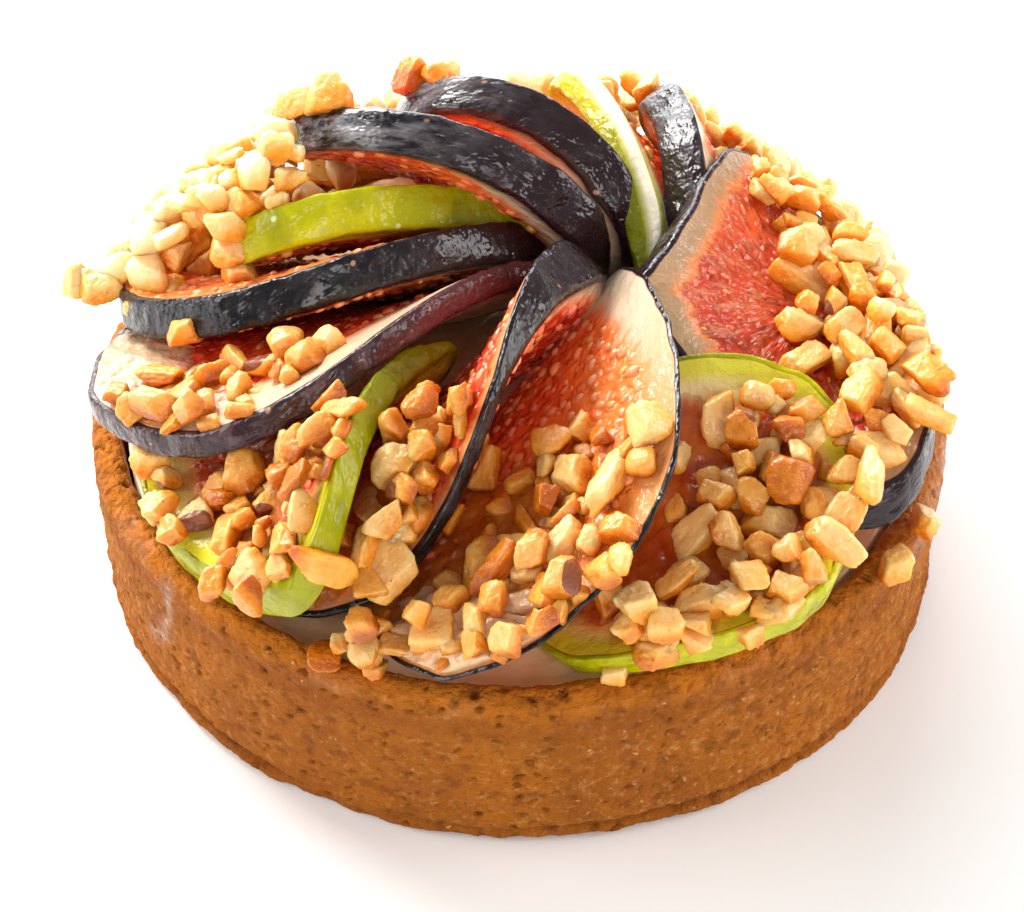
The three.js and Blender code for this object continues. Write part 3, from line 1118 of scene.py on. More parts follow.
    def depth_of(self, points: np.ndarray, outline: np.ndarray) -> np.ndarray:
        """How far points on the cut face are from the outline."""
        gaps = points[:, None, :] - outline[None, :, :]
        return np.sqrt((gaps ** 2).sum(-1).min(1))

    def relief(self, points: np.ndarray, ripe: np.ndarray) -> np.ndarray:
        """How far the cut face stands out: lumpy in the pulp and smooth in the ring."""
        spots = np.column_stack([points, np.full(len(points), self.heading * 1.7)])
        lumps = smooth_noise(spots, 1.6, 2) * smooth_step(ripe, -0.5, 1.5)
        return PULP_RELIEF * (lumps + smooth_noise(spots, 8.0))

    def build(self, material: bpy.types.Material) -> bpy.types.Object:
        """Makes the slice.

        Args:
            material: the fig.

        Returns:
            The piece.
        """
        flat, level, skin, depth = self._rings()
        ripe = depth - self.ring_width(flat[:, 0])
        blunt = np.sqrt(smooth_step(flat[:, 0], -1.5, 4.5))
        height = level * self.half_thickness(flat[:, 0]) * blunt
        firm = smooth_step(depth, 0.3, 1.6) * (skin < 0.5)
        height = height + np.sign(level) * self.relief(flat, ripe) * firm
        height += smooth_noise(np.column_stack([flat, height]), 2.0, 2) * SKIN_RELIEF * skin
        corners = self.place(flat[:, 0], flat[:, 1], height)
        marks = self._marks(flat, level, skin, depth, height)
        rows = self.face_rows + self.edge_rows + self.back_rows
        piece = make_piece(f"{self.node}_flesh", corners, ring_faces(rows, self.around), marks)
        slot = "green_fig" if self.kind is FigKind.GREEN else "black_fig"
        return dress(piece, material, slot, self.node)

    def _rings(self) -> tuple[np.ndarray, np.ndarray, np.ndarray, np.ndarray]:
        """Lays out the corners ring by ring: cut face, edge and underside, then two tips.

        Returns:
            For each corner, its place along and across, its level from 1 at the cut face to
            -1 at the underside, whether it is skin, and how deep it is inside the edge.
        """
        outline, heart = self.outline(), self.heart()
        normals = self.edge_normals(outline)
        inset = outline - normals * CORNER
        drawn = np.where(outline[:, 0] > self.size[0] / 2, self.bevel,
                         np.minimum(self.bevel, 0.6 * np.abs(outline[:, 1])))
        trailing = np.clip(-normals[:, 1], 0, 1) * outline[:, 0] / self.size[0]
        slope = (drawn - self.flare * trailing)[:, None] * normals
        rings: list[tuple[np.ndarray, float, float, np.ndarray]] = []
        for share in np.linspace(0, 1, self.face_rows + 1)[1:]:
            flat = heart + (inset - heart) * share
            rings.append((flat, 1.0, 0.0, self.depth_of(flat, outline)))
        for angle in np.linspace(90, -90, self.edge_rows + 2)[1:-1]:
            turn = math.radians(angle)
            reach = math.cos(turn) ** 0.5 * (CORNER + SKIN_BULGE)
            level = math.copysign(abs(math.sin(turn)) ** 0.5, turn)
            peeled = float(level > 1 - 2 * self.peel)
            flat = inset + normals * reach - slope * (1 - level) / 2
            rings.append((flat, level, 1.0 - peeled, np.full(self.around, peeled * PEEL_DEPTH)))
        for share in np.linspace(1, 0, self.back_rows + 1)[:-1]:
            flat = heart + (inset - slope - heart) * share
            rings.append((flat, -1.0, float(share > 0.97), self.depth_of(flat, outline - slope)))
        tips = np.array([heart, heart])
        flats, levels, skins, depths = zip(*rings)
        return (np.vstack([*flats, tips]), np.append(np.repeat(levels, self.around), [1, -1]),
                np.append(np.repeat(skins, self.around), [0, 0]),
                np.concatenate([*depths, self.depth_of(tips, outline)]))

    def _marks(self, flat: np.ndarray, level: np.ndarray, skin: np.ndarray, depth: np.ndarray,
               height: np.ndarray) -> Marks:
        """Works out what the shader reads at each corner.

        Args:
            flat: its place along and across.
            level: from 1 at the cut face to -1 at the underside.
            skin: whether it is skin.
            depth: how deep it is inside the edge.
            height: how far it stands out of the middle surface.

        Returns:
            The marks.
        """
        spokes = flat - self.heart()
        reach = np.linalg.norm(spokes, axis=1, keepdims=True)
        spokes = spokes / np.maximum(reach, 0.5) * SPOKE_REACH
        share = flat[:, 0] / self.size[0]
        ones = np.ones(len(flat))
        return {
            "cut_place": np.column_stack([flat, height + self.heading]),
            "outward": np.column_stack([spokes, reach / SPOKE_STRETCH + self.heading]),
            "depth": depth,
            "ripe": depth - self.ring_width(flat[:, 0]),
            "skin": skin,
            "tone": self.tone + TONE_SLOPE * flat[:, 1],
            "stringy": self.stringy * ones,
            "stem": smooth_step(-share, -0.5, -0.15),
            "pith": ((skin < 0.5) & (np.abs(level) < 0.99)).astype(float),
            # Painted shade for a slice turned from the light.
            "painted_shade": self.painted_shade * ones,
            # Whitish streaks: dried white syrup on one slice, a painted sheen on others.
            "syrup_and_sheen": self.syrup_and_sheen * smooth_step(share, 0.2, 0.8),
            "syrup": self.syrup * smooth_step(share, 0.45, 0.7) * (level > 0),
        }


@dataclass
class Seeds:
    """Fig seeds, half sunk in the pulp on both faces of every slice.

    tries is how many places are tried on each face; sides and rows are the facets of a seed.
    """

    spacing: float = 1.25
    long: float = 0.70
    wide: float = 0.60
    thick: float = 0.40
    tries: int = 2400
    sides: int = 8
    rows: int = 3
    seed: int = 5

    def build(self, slices: list[FigSlice], material: bpy.types.Material) -> bpy.types.Object:
        """Makes all the seeds as one mesh.

        Args:
            slices: the slices that they lie in.
            material: the seeds' finish.

        Returns:
            The piece.
        """
        rng = np.random.default_rng(self.seed)
        ball, faces = self._ball()
        parts: list[Part] = []
        for fig in slices:
            for side in (1, -1):
                for spot in self._spots(fig, rng):
                    corners = self._seed(fig, spot, side, ball, rng)
                    marks = {"tone": np.full(len(ball), fig.tone + TONE_SLOPE * spot[1]),
                             "chance": np.full(len(ball), rng.random())}
                    parts.append((corners, faces, marks))
        return dress(join_parts("fig_seeds", parts), material, "black_fig")

    def _ball(self) -> tuple[np.ndarray, list[Face]]:
        """Makes a small round ball.

        Returns:
            Its corners and faces.
        """
        rings = []
        for tilt in np.linspace(0, math.pi, self.rows + 2)[1:-1]:
            turn = np.linspace(0, 2 * math.pi, self.sides, endpoint=False)
            rings.append(np.stack([np.sin(tilt) * np.cos(turn), np.sin(tilt) * np.sin(turn),
                                   np.full(self.sides, math.cos(tilt))], -1))
        tips = np.array([[0, 0, 1.0], [0, 0, -1.0]])
        return np.vstack([*rings, tips]), ring_faces(self.rows, self.sides)

    def _spots(self, fig: FigSlice, rng: np.random.Generator) -> list[np.ndarray]:
        """Finds places for seeds on one slice, each clear of the others.

        Args:
            fig: the slice.
            rng: the source of chance.

        Returns:
            Places along and across.
        """
        outline = fig.outline()
        low, high = outline.min(0), outline.max(0)
        tries = low + rng.random((self.tries, 2)) * (high - low)
        tries = tries[np.linalg.norm(tries - fig.heart(), axis=1) < fig.edge_reach(tries)]
        ripe = fig.depth_of(tries, outline) - fig.ring_width(tries[:, 0])
        kept = np.empty((0, 2))
        for spot in tries[ripe > 0.3]:
            gap = self.spacing * rng.uniform(0.8, 1.8 + fig.stringy)
            if not len(kept) or np.hypot(*(kept - spot).T).min() > gap:
                kept = np.vstack([kept, spot])
        return list(kept)

    def _seed(self, fig: FigSlice, spot: np.ndarray, side: int, ball: np.ndarray,
              rng: np.random.Generator) -> np.ndarray:
        """Shapes one seed.

        Args:
            fig: the slice that it lies in.
            spot: where it lies, along and across.
            side: 1 for the cut face, -1 for the underside.
            ball: the corners of a round ball.
            rng: the source of chance.

        Returns:
            Its corners in the tart's frame.
        """
        outward = spot - fig.heart()
        turn = math.atan2(outward[1], outward[0]) + rng.normal(0, 1.0 - 0.75 * fig.stringy)
        size = rng.uniform(0.62, 1.25) * (1 - 0.45 * fig.stringy)
        stretch = 1 + rng.uniform(0.2, 0.8) * fig.stringy
        bearing = np.arctan2(ball[:, 1], ball[:, 0])
        swell = 1 + 0.14 * np.sin(2 * bearing + rng.uniform(0, 6)) \
            + 0.10 * np.sin(3 * bearing + rng.uniform(0, 6))
        x = ball[:, 0] * self.long * size * stretch * swell
        y = ball[:, 1] * self.wide * size / stretch ** 0.5 * swell
        along = spot[0] + x * math.cos(turn) - y * math.sin(turn)
        across = spot[1] + x * math.sin(turn) + y * math.cos(turn)
        level = fig.half_thickness(spot[0]) + fig.relief(spot[None], np.array([2.0]))[0]
        sunk = rng.uniform(-0.30, 0.0)
        height = side * (level + ball[:, 2] * self.thick * size + sunk)
        return fig.place(along, across, height)


def pinwheel() -> list[FigSlice]:
    """The twelve slices, counter-clockwise from the one nearest the front."""
    black, purple, green = FigKind.BLACK, FigKind.PURPLE, FigKind.GREEN
    # Slices 3 and 11 get painted shade where they are turned from the light; the whitish streaks
    # on slice 4 are dried white syrup, and those on slices 6 and 7 a painted sheen.
    return [
        FigSlice("fig_slice_01", black, (1.5, 1, -0.5), -109, (3, 16), (54, 25), (52, 39.5),
                 (2.8, 2.2), 0.58, 2.6, ring=(7.5, 3.6, 3.6), tone=0.88, stringy=0, syrup=0.75),
        FigSlice("fig_slice_02", green, (-4.5, -15, -5.5), -50, (6, -1), (50, 0), (34, 36.5),
                 (3.2, 4.2), 0.55, 0.8, ring=(6, 5.0, 3.4), tone=0.25, syrup=0.3),
        FigSlice("fig_slice_03", black, (2.5, -7.5, 4.6), 13, (33, 5), (30, -7), (31, 48),
                 (4.2, 4.8), 0.65, ring=(3.6, 3.2, 2.2), tone=0.25, stringy=1, flare=2.6,
                 painted_shade=0.85, neck=1.2),
        FigSlice("fig_slice_04", black, (7.5, 2.5, -0.5), 59, (12, 40), (74, 14), (28, 37),
                 (5.5, 4.5), 0.66, syrup_and_sheen=0.8),
        FigSlice("fig_slice_05", green, (4.5, 0, -1), 79, (0, 42), (78, 18), (35, 37),
                 (4, 4), 0.63, ring=(8, 4.5, 3.0), peel=0.42),
        FigSlice("fig_slice_06", black, (3, 4.8, -1.2), 121, (-1, 14), (92, 12), (35, 36),
                 (4.8, 5), 0.53, ring=(6, 1.0, 1.2), syrup_and_sheen=0.5),
        FigSlice("fig_slice_07", black, (-0.5, 5, -4), 145, (-27, 20), (72, 22), (40, 38),
                 (5.2, 4.2), 0.48, ring=(6, 0.9, 1.2), syrup_and_sheen=0.75),
        FigSlice("fig_slice_08", green, (-4, 6.5, 2), 171, (5, 16.7), (56, 29.4), (36, 37),
                 (4.5, 4.5), 0.7, ring=(6, 2.4, 2.4)),
        FigSlice("fig_slice_09", black, (-5, 6.5, -1), 186, (9, 2), (52, 26), (46, 36),
                 (4.2, 4.2), 0.56, ring=(5, 0.7, 1.0), tone=0.8, stringy=0.5),
        FigSlice("fig_slice_10", purple, (-5.5, 2.5, -1.5), 198, (7, 4), (54, 11), (49, 42),
                 (2.8, 2.8), 0.6, ring=(9, 6.5, 9.0), tone=0.3, stringy=0.8),
        FigSlice("fig_slice_11", green, (-15.5, -12, 0.5), 209, (22, 17), (69, 1), (33.5, 43),
                 (2.4, 4.6), 0.66, ring=(4, 4.5, 5.0), tone=0.1, syrup=0.2, painted_shade=0.45),
        FigSlice("fig_slice_12", black, (-1, -1, 2), 227, (6, 34), (82, 11), (48, 33),
                 (6.5, 1.7), 0.56, 0.8, ring=(3, 1.3, 2.0), tone=0.12, stringy=0, thin=0.45),
    ]


# ------------------------------------------------------------------ cream


@dataclass
class Cream:
    """The filling: level at the rim, and drawn up under the pinwheel."""

    radius: float = 41.4
    foot: float = 3.5
    level: float = 17.4
    mound: float = 11.0
    spread: float = 15.0
    ripple: float = 0.5
    lip: float = 0.9
    rings: int = 80
    around: int = 220
    clearance: float = 0.25

    def build(self, figs: BVHTree, material: bpy.types.Material) -> bpy.types.Object:
        """Makes the cream, kept under the slices.

        Args:
            figs: the slices' faces.
            material: the cream's finish.

        Returns:
            The piece.
        """
        turn = np.linspace(0, 2 * math.pi, self.around, endpoint=False)
        rows = [(self.radius * 0.1, self.foot), (self.radius, self.foot)]
        rows += [(self.radius * r, self.level) for r in np.linspace(1, 0.02, self.rings)]
        spots = np.array([[r * math.cos(t), r * math.sin(t), z] for r, z in rows for t in turn])
        top = spots[:, 2] > self.foot + 1
        away = np.hypot(spots[:, 0] - CROWN[0], spots[:, 1] - CROWN[1]) / self.spread
        swell = self.mound * np.exp(-away ** 2) + self.ripple * smooth_noise(spots, 6.0, 3)
        spots[top, 2] += swell[top]
        edge = smooth_step(np.hypot(spots[:, 0], spots[:, 1]), self.radius - 3, self.radius)
        spots[top, 2] += self.lip * edge[top]
        self._keep_under(spots, top, figs)
        tips = np.array([[0, 0, self.foot], [0, 0, spots[-1, 2]]])
        faces = ring_faces(len(rows), self.around)
        piece = make_piece("cream_filling", np.vstack([spots, tips]), faces)
        return dress(piece, material, "cream", "cream")

    def _keep_under(self, spots: np.ndarray, top: np.ndarray, figs: BVHTree) -> None:
        """Lowers the cream's top wherever a slice lies lower than it.

        Args:
            spots: the cream's corners, which it moves.
            top: which of them are on top.
            figs: the slices' faces.
        """
        for i in np.nonzero(top)[0]:
            start = Vector((spots[i, 0], spots[i, 1], self.foot)) * MM
            hit = figs.ray_cast(start, Vector((0, 0, 1)))
            if hit[0] is not None:
                spots[i, 2] = min(spots[i, 2], hit[0].z / MM - self.clearance)


# ------------------------------------------------------------------ syrup


@dataclass
class Pool:
    """A pool of syrup on a slice's cut face.

    fig is the slice, counted from 1; middle and reach are along and across it; depth is its
    depth, share how opaque it is, dark how dark and milk how milky, from 0 to 1.
    """

    fig: int
    middle: tuple[float, float]
    reach: tuple[float, float]
    depth: float = 0.9
    share: float = 0.8
    dark: float = 0.4
    milk: float = 0.0
    rings: int = 40
    around: int = 120
    sunk: float = 0.5

    def build(self, slices: list[FigSlice]) -> Part:
        """Makes the pool's mesh.

        Args:
            slices: the pinwheel.

        Returns:
            Its corners, faces and marks.
        """
        fig = slices[self.fig - 1]
        turn = np.linspace(0, 2 * math.pi, self.around, endpoint=False)
        ragged = np.stack([np.cos(turn), np.sin(turn), np.full(self.around, self.fig)], -1)
        edge = 1 + 0.35 * smooth_noise(ragged, 0.45, 3)
        shares = [*np.linspace(1 / self.rings, 1, self.rings), *np.linspace(1, 0.1, 8)[1:]]
        circle = np.stack([np.cos(turn), np.sin(turn)], -1) * edge[:, None]
        rings = [circle * share * self.reach + self.middle for share in shares]
        flat = np.vstack([*rings, self.middle, self.middle])
        top = np.repeat([1.0] * self.rings + [-1.0] * 7, self.around)
        top = np.append(top, [1.0, -1.0])
        far = np.append(np.repeat(shares, self.around), [0.0, 0.0])
        flat = self._held(fig, flat)
        spots = np.column_stack([flat, np.full(len(flat), float(self.fig))])
        swell = self.depth * (1 - far ** 3) * (1 + 0.6 * smooth_noise(spots, 3.0, 2))
        lift = np.where(top > 0, swell - self.sunk * far ** 3, -self.sunk)
        height = fig.half_thickness(flat[:, 0]) + lift
        corners = fig.place(flat[:, 0], flat[:, 1], height)
        deep = self.share * smooth_step(-far, -1.0, -0.7)
        marks = {"depth": deep, "dark": np.full(len(flat), self.dark),
                 "milk": np.full(len(flat), self.milk)}
        return corners, ring_faces(len(shares), self.around), marks

    @staticmethod
    def _held(fig: FigSlice, flat: np.ndarray) -> np.ndarray:
        """Draws a pool in from the slice's edge.

        Args:
            fig: the slice.
            flat: places along and across.

        Returns:
            The same places, held half a millimetre inside the outline.
        """
        away = flat - fig.heart()
        reach = fig.edge_reach(flat) - 0.5
        length = np.linalg.norm(away, axis=1)
        return fig.heart() + away * np.minimum(1, reach / np.maximum(length, 1e-6))[:, None]


@dataclass
class Syrup:
    """The pools of syrup, which stand for the single layers of glazed nuts."""

    pools: tuple[Pool, ...] = (
        Pool(1, (38, 1), (12, 12), depth=1.0, share=0.5, dark=0.3),
        Pool(1, (46.5, 0.5), (6.5, 11), depth=1.3, share=0.85, dark=0.0, milk=0.7),
        Pool(2, (19, -2), (14, 14), depth=1.2, share=0.8, dark=0.85),
        Pool(10, (41, 8), (9, 8), depth=0.6, share=0.6, dark=0.3),
        Pool(10, (43, -4), (6, 9), depth=0.7, share=0.6, dark=0.0, milk=0.9),
        Pool(11, (20, 4), (11, 12), depth=0.8, share=0.6, dark=0.6),
        Pool(12, (36, 3), (10, 8), depth=1.2, share=0.8, dark=0.6),
    )

    def build(self, slices: list[FigSlice], material: bpy.types.Material) -> bpy.types.Object:
        """Makes the pools as one mesh.

        Args:
            slices: the pinwheel.
            material: the syrup.

        Returns:
            The piece.
        """
        piece = join_parts("syrup_pools", [pool.build(slices) for pool in self.pools])
        return dress(piece, material, "nuts", "nuts_front", "nuts_front_right",
                     "nuts_left_front", "nuts_front_left", "nuts_front_middle")


# ------------------------------------------------------------------ nuts


class Cut(Enum):
    """How a nut was chopped: how many cuts, how deep they are, and its proportions."""

    CHUNK = (3, 0.52, 0.80, (1.12, 0.95, 0.84))
    FLAKE = (3, 0.50, 0.84, (1.20, 1.00, 0.46))
    ROUND = (1, 0.66, 0.95, (1.10, 1.00, 0.90))
    STICK = (3, 0.54, 0.80, (1.62, 0.80, 0.70))


@dataclass(frozen=True)
class Chip:
    """One chopped nut: its middle, size, the way it faces, how brown it is, and its cut."""

    middle: Vector
    size: float
    up: Vector
    tone: float
    cut: Cut | None = None


@dataclass
class ChipMaker:
    """Turns chips into one joined mesh of chunks with flat cuts and rounded edges.

    fine_from is the size from which chips are finely modelled; husk_share how many have
    husk left on; soak how much browner their undersides are painted, as painted shade.
    """

    name: str
    chips: list[Chip]
    fine_from: float = 2.4
    seed: int = 3
    husk_share: float = 0.035
    underside_shade: float = 0.65

    def build(self, material: bpy.types.Material) -> bpy.types.Object:
        """Makes the chips.

        Args:
            material: the nuts' finish.

        Returns:
            The piece.
        """
        rng = np.random.default_rng(self.seed)
        balls = {True: self._ball(4), False: self._ball(3)}
        parts: list[Part] = []
        for chip in self.chips:
            ball, faces = balls[chip.size >= self.fine_from]
            shape, marks = self._chunk(ball, chip, rng)
            parts.append((self._turned(shape, chip, rng), faces, marks))
        return dress(join_parts(self.name, parts), material, "nuts")

    @staticmethod
    def _ball(level: int) -> tuple[np.ndarray, list[Face]]:
        """Makes an even ball of triangles.

        Args:
            level: how often its triangles are split in four.

        Returns:
            Its corners and faces.
        """
        mesh = bmesh.new()
        bmesh.ops.create_icosphere(mesh, subdivisions=level, radius=1.0)
        ball = np.array([vertex.co[:] for vertex in mesh.verts])
        faces = [tuple(vertex.index for vertex in face.verts) for face in mesh.faces]
        mesh.free()
        return ball, faces

    def _chunk(self, ball: np.ndarray, chip: Chip,
               rng: np.random.Generator) -> tuple[np.ndarray, Marks]:
        """Chops one chunk of unit size out of a ball, with planes and a dent.

        Args:
            ball: the ball's corners.
            chip: the nut.
            rng: the source of chance.

        Returns:
            The chunk's corners, and how brown and how husky each of them is, with painted shade on
            its underside.
        """
        cut = chip.cut or rng.choice([Cut.CHUNK] * 6 + [Cut.FLAKE, Cut.ROUND] + [Cut.STICK] * 2)
        cuts, near, far, proportions = cut.value
        box = np.vstack([np.eye(3), -np.eye(3)]) + rng.normal(0, 0.24, (6, 3))
        planes = np.vstack([box, rng.normal(size=(cuts, 3))])
        planes /= np.linalg.norm(planes, axis=1, keepdims=True)
        offsets = rng.uniform(near, far, len(planes))
        crisp = rng.uniform(26, 60)
        facing = np.clip(ball @ planes.T, 0, None) / offsets
        reach = ((facing ** crisp).sum(1) + (1 / 1.12) ** crisp) ** (-1 / crisp)
        dent = rng.normal(size=3)
        dent = np.clip(ball @ (dent / np.linalg.norm(dent)), -1, 1)
        reach *= 1 - rng.uniform(0, 0.3) * np.exp(-(np.arccos(dent) / 0.45) ** 2)
        shape = ball * reach[:, None] * np.array(proportions) * rng.uniform(0.88, 1.12, 3)
        rough = smooth_noise(ball * 3 + rng.uniform(0, 90, 3), 1.0, 3)
        shape += ball * rough[:, None] * 0.06
        # Painted shade: the underside of each chip is painted browner.
        shaded_under = smooth_step(-shape[:, 2], -0.6, 0.5) * self.underside_shade
        husk = np.zeros(len(ball))
        if rng.random() < self.husk_share:
            side = rng.normal(size=3)
            husk = smooth_step(ball @ (side / np.linalg.norm(side)), 0.35, 0.7)
        return shape, {"tone": chip.tone * 0.85 - 0.12 + shaded_under, "husk": husk}

    @staticmethod
    def _turned(shape: np.ndarray, chip: Chip, rng: np.random.Generator) -> np.ndarray:
        """Turns a chunk to lie on what is under it.

        Args:
            shape: its corners, at unit size.
            chip: the nut.
            rng: the source of chance.

        Returns:
            Its corners in the tart's frame.
        """
        lean = Vector(rng.normal(0, 0.25, 3))
        turn = (chip.up + lean).normalized().to_track_quat("Z", "Y").to_matrix()
        spin = rng.uniform(0, 2 * math.pi)
        flat = np.array([[math.cos(spin), -math.sin(spin), 0],
                         [math.sin(spin), math.cos(spin), 0], [0, 0, 1]])
        matrix = np.array(turn) @ flat
        return shape @ matrix.T * (chip.size / 2) + np.array(chip.middle)


@dataclass
class Ceiling:
    """How high nuts may lie: bearings round the tart, in degrees, and the height at each.

    The heights hold at one distance from the axis and fall by fall for each millimetre
    further out.
    """

    bearings: tuple[float, ...] = (-60, -30, -12, 0, 12, 30, 50, 70, 90, 104, 118, 134, 148,
                                   160, 170, 180, 190, 215)
    heights: tuple[float, ...] = (60, 42, 34, 31.5, 28.5, 28, 29, 31.5, 30, 29.5, 29, 30,
                                  32, 33.5, 34, 33, 31, 60)
    distance: float = 42.0
    fall: float = 1.05
    reach: float = 47.4

    def clears(self, middle: Vector, size: float) -> bool:
        """Tests a nut against the ceiling and the tart's edge.

        Args:
            middle: the nut's middle, in millimetres.
            size: its size across.

        Returns:
            Whether it keeps within both.
        """
        far = math.hypot(middle.x, middle.y)
        bearing = math.degrees(math.atan2(middle.y, middle.x))
        bearing += 360 if bearing < -120 else 0
        top = float(np.interp(bearing, self.bearings, self.heights))
        top += self.fall * (self.distance - far)
        return middle.z + size * 0.45 < top and far < self.reach


@dataclass
class Settler:
    """Drops chips one at a time, until each touches what is under it."""

    ground: BVHTree
    seat: float = 0.45
    packing: float = 0.74
    ceiling: Ceiling = field(default_factory=Ceiling)
    middles: list[Vector] = field(default_factory=list)
    radii: list[float] = field(default_factory=list)

    def drop(self, start: Vector, way: Vector, size: float) -> tuple[Vector, Vector] | None:
        """Drops one chip.

        Args:
            start: where it starts, in millimetres.
            way: the direction it falls in, of unit length.
            size: its size across, in millimetres.

        Returns:
            Its middle and the surface's direction there, or None where it hits nothing.
        """
        hit, normal, _, distance = self.ground.ray_cast(start * MM, way)
        if hit is None:
            return None
        radius = size / 2
        travel = distance / MM - radius * self.seat
        facing = normal if normal.dot(way) < 0 else -normal
        if self.middles:
            gaps = np.array(self.middles) - np.array(start)
            ahead = gaps @ np.array(way)
            aside = (gaps ** 2).sum(1) - ahead ** 2
            reach = ((np.array(self.radii) + radius) * self.packing) ** 2
            near = (aside < reach) & (ahead > 0)
            if near.any():
                contact = float((ahead[near] - np.sqrt(reach[near] - aside[near])).min())
                travel = min(travel, contact)
        return start + way * travel, facing

    def keep(self, middle: Vector, size: float) -> None:
        """Remembers a chip, so that later ones rest on it."""
        self.middles.append(middle)
        self.radii.append(size / 2)


@dataclass
class Sprinkle:
    """Nuts sprinkled on a slice's cut face.

    fig is the slice, counted from 1; along and across are the ranges that they land in, in
    millimetres; thicken crowds them towards the far end of along; layers is how many high
    they may lie; tone is how brown they are on average; lift is the height they drop from.
    """

    fig: int
    along: tuple[float, float]
    across: tuple[float, float]
    tries: int
    sizes: tuple[float, float] = (1.8, 4.0)
    thicken: float = 1.0
    layers: float = 1.0
    tone: float = 0.35
    lift: float = 14.0

    def chips(self, slices: list[FigSlice], settler: Settler,
              rng: np.random.Generator) -> list[Chip]:
        """Sprinkles the nuts.

        Args:
            slices: the pinwheel.
            settler: what drops the nuts.
            rng: the source of chance.

        Returns:
            The nuts that stayed on.
        """
        fig = slices[self.fig - 1]
        made = []
        for _ in range(self.tries):
            share = rng.random() ** (1 / self.thicken)
            along = self.along[0] + (self.along[1] - self.along[0]) * share
            across = rng.uniform(*self.across)
            size = self.sizes[0] + (self.sizes[1] - self.sizes[0]) * rng.beta(1.6, 1.8)
            landed = drop_on(fig, along, across, size, settler, self.layers, (self.lift,))
            if landed is None:
                continue
            tone = float(np.clip(rng.normal(self.tone, 0.26), 0, 1))
            made.append(Chip(landed[0], size, landed[1], tone))
        return made


def drop_on(fig: FigSlice, along: float, across: float, size: float, settler: Settler,
            layers: float, lifts: tuple[float, ...] = (14.0,)) -> tuple[Vector, Vector] | None:
    """Drops one nut square onto a slice's cut face.

    Args:
        fig: the slice.
        along: how far along it, in millimetres.
        across: how far towards its leading edge, in millimetres.
        size: the nut's size across, in millimetres.
        settler: what drops it.
        layers: how many nuts high it may come to rest.
        lifts: the heights over the face to drop it from, tried in turn.

    Returns:
        Its middle and the surface's direction, or None where it lies too high or too low.
    """
    centre, sideways, normal = (row[0] for row in fig.frame_at(np.array([along / fig.size[0]])))
    face = centre + sideways * across + normal * fig.half_thickness(along)
    for lift in lifts:
        landed = settler.drop(Vector(face + normal * lift), Vector(-normal), size)
        if landed is None or not settler.ceiling.clears(landed[0], size):
            continue
        height = (np.array(landed[0]) - face) @ normal
        if -0.5 * size < height < size * (0.2 + 0.55 * layers):
            settler.keep(landed[0], size)
            return landed
    return None


def drop_down(spot: tuple[float, float], size: float,
              settler: Settler) -> tuple[Vector, Vector] | None:
    """Drops one nut straight down.

    Args:
        spot: where it comes down in plan, in millimetres.
        size: its size across, in millimetres.
        settler: what drops it.

    Returns:
        Its middle and the surface's direction, or None where there is nothing under it.
    """
    landed = settler.drop(Vector((*spot, 60.0)), Vector((0, 0, -1)), size)
    if landed is not None:
        settler.keep(landed[0], size)
    return landed


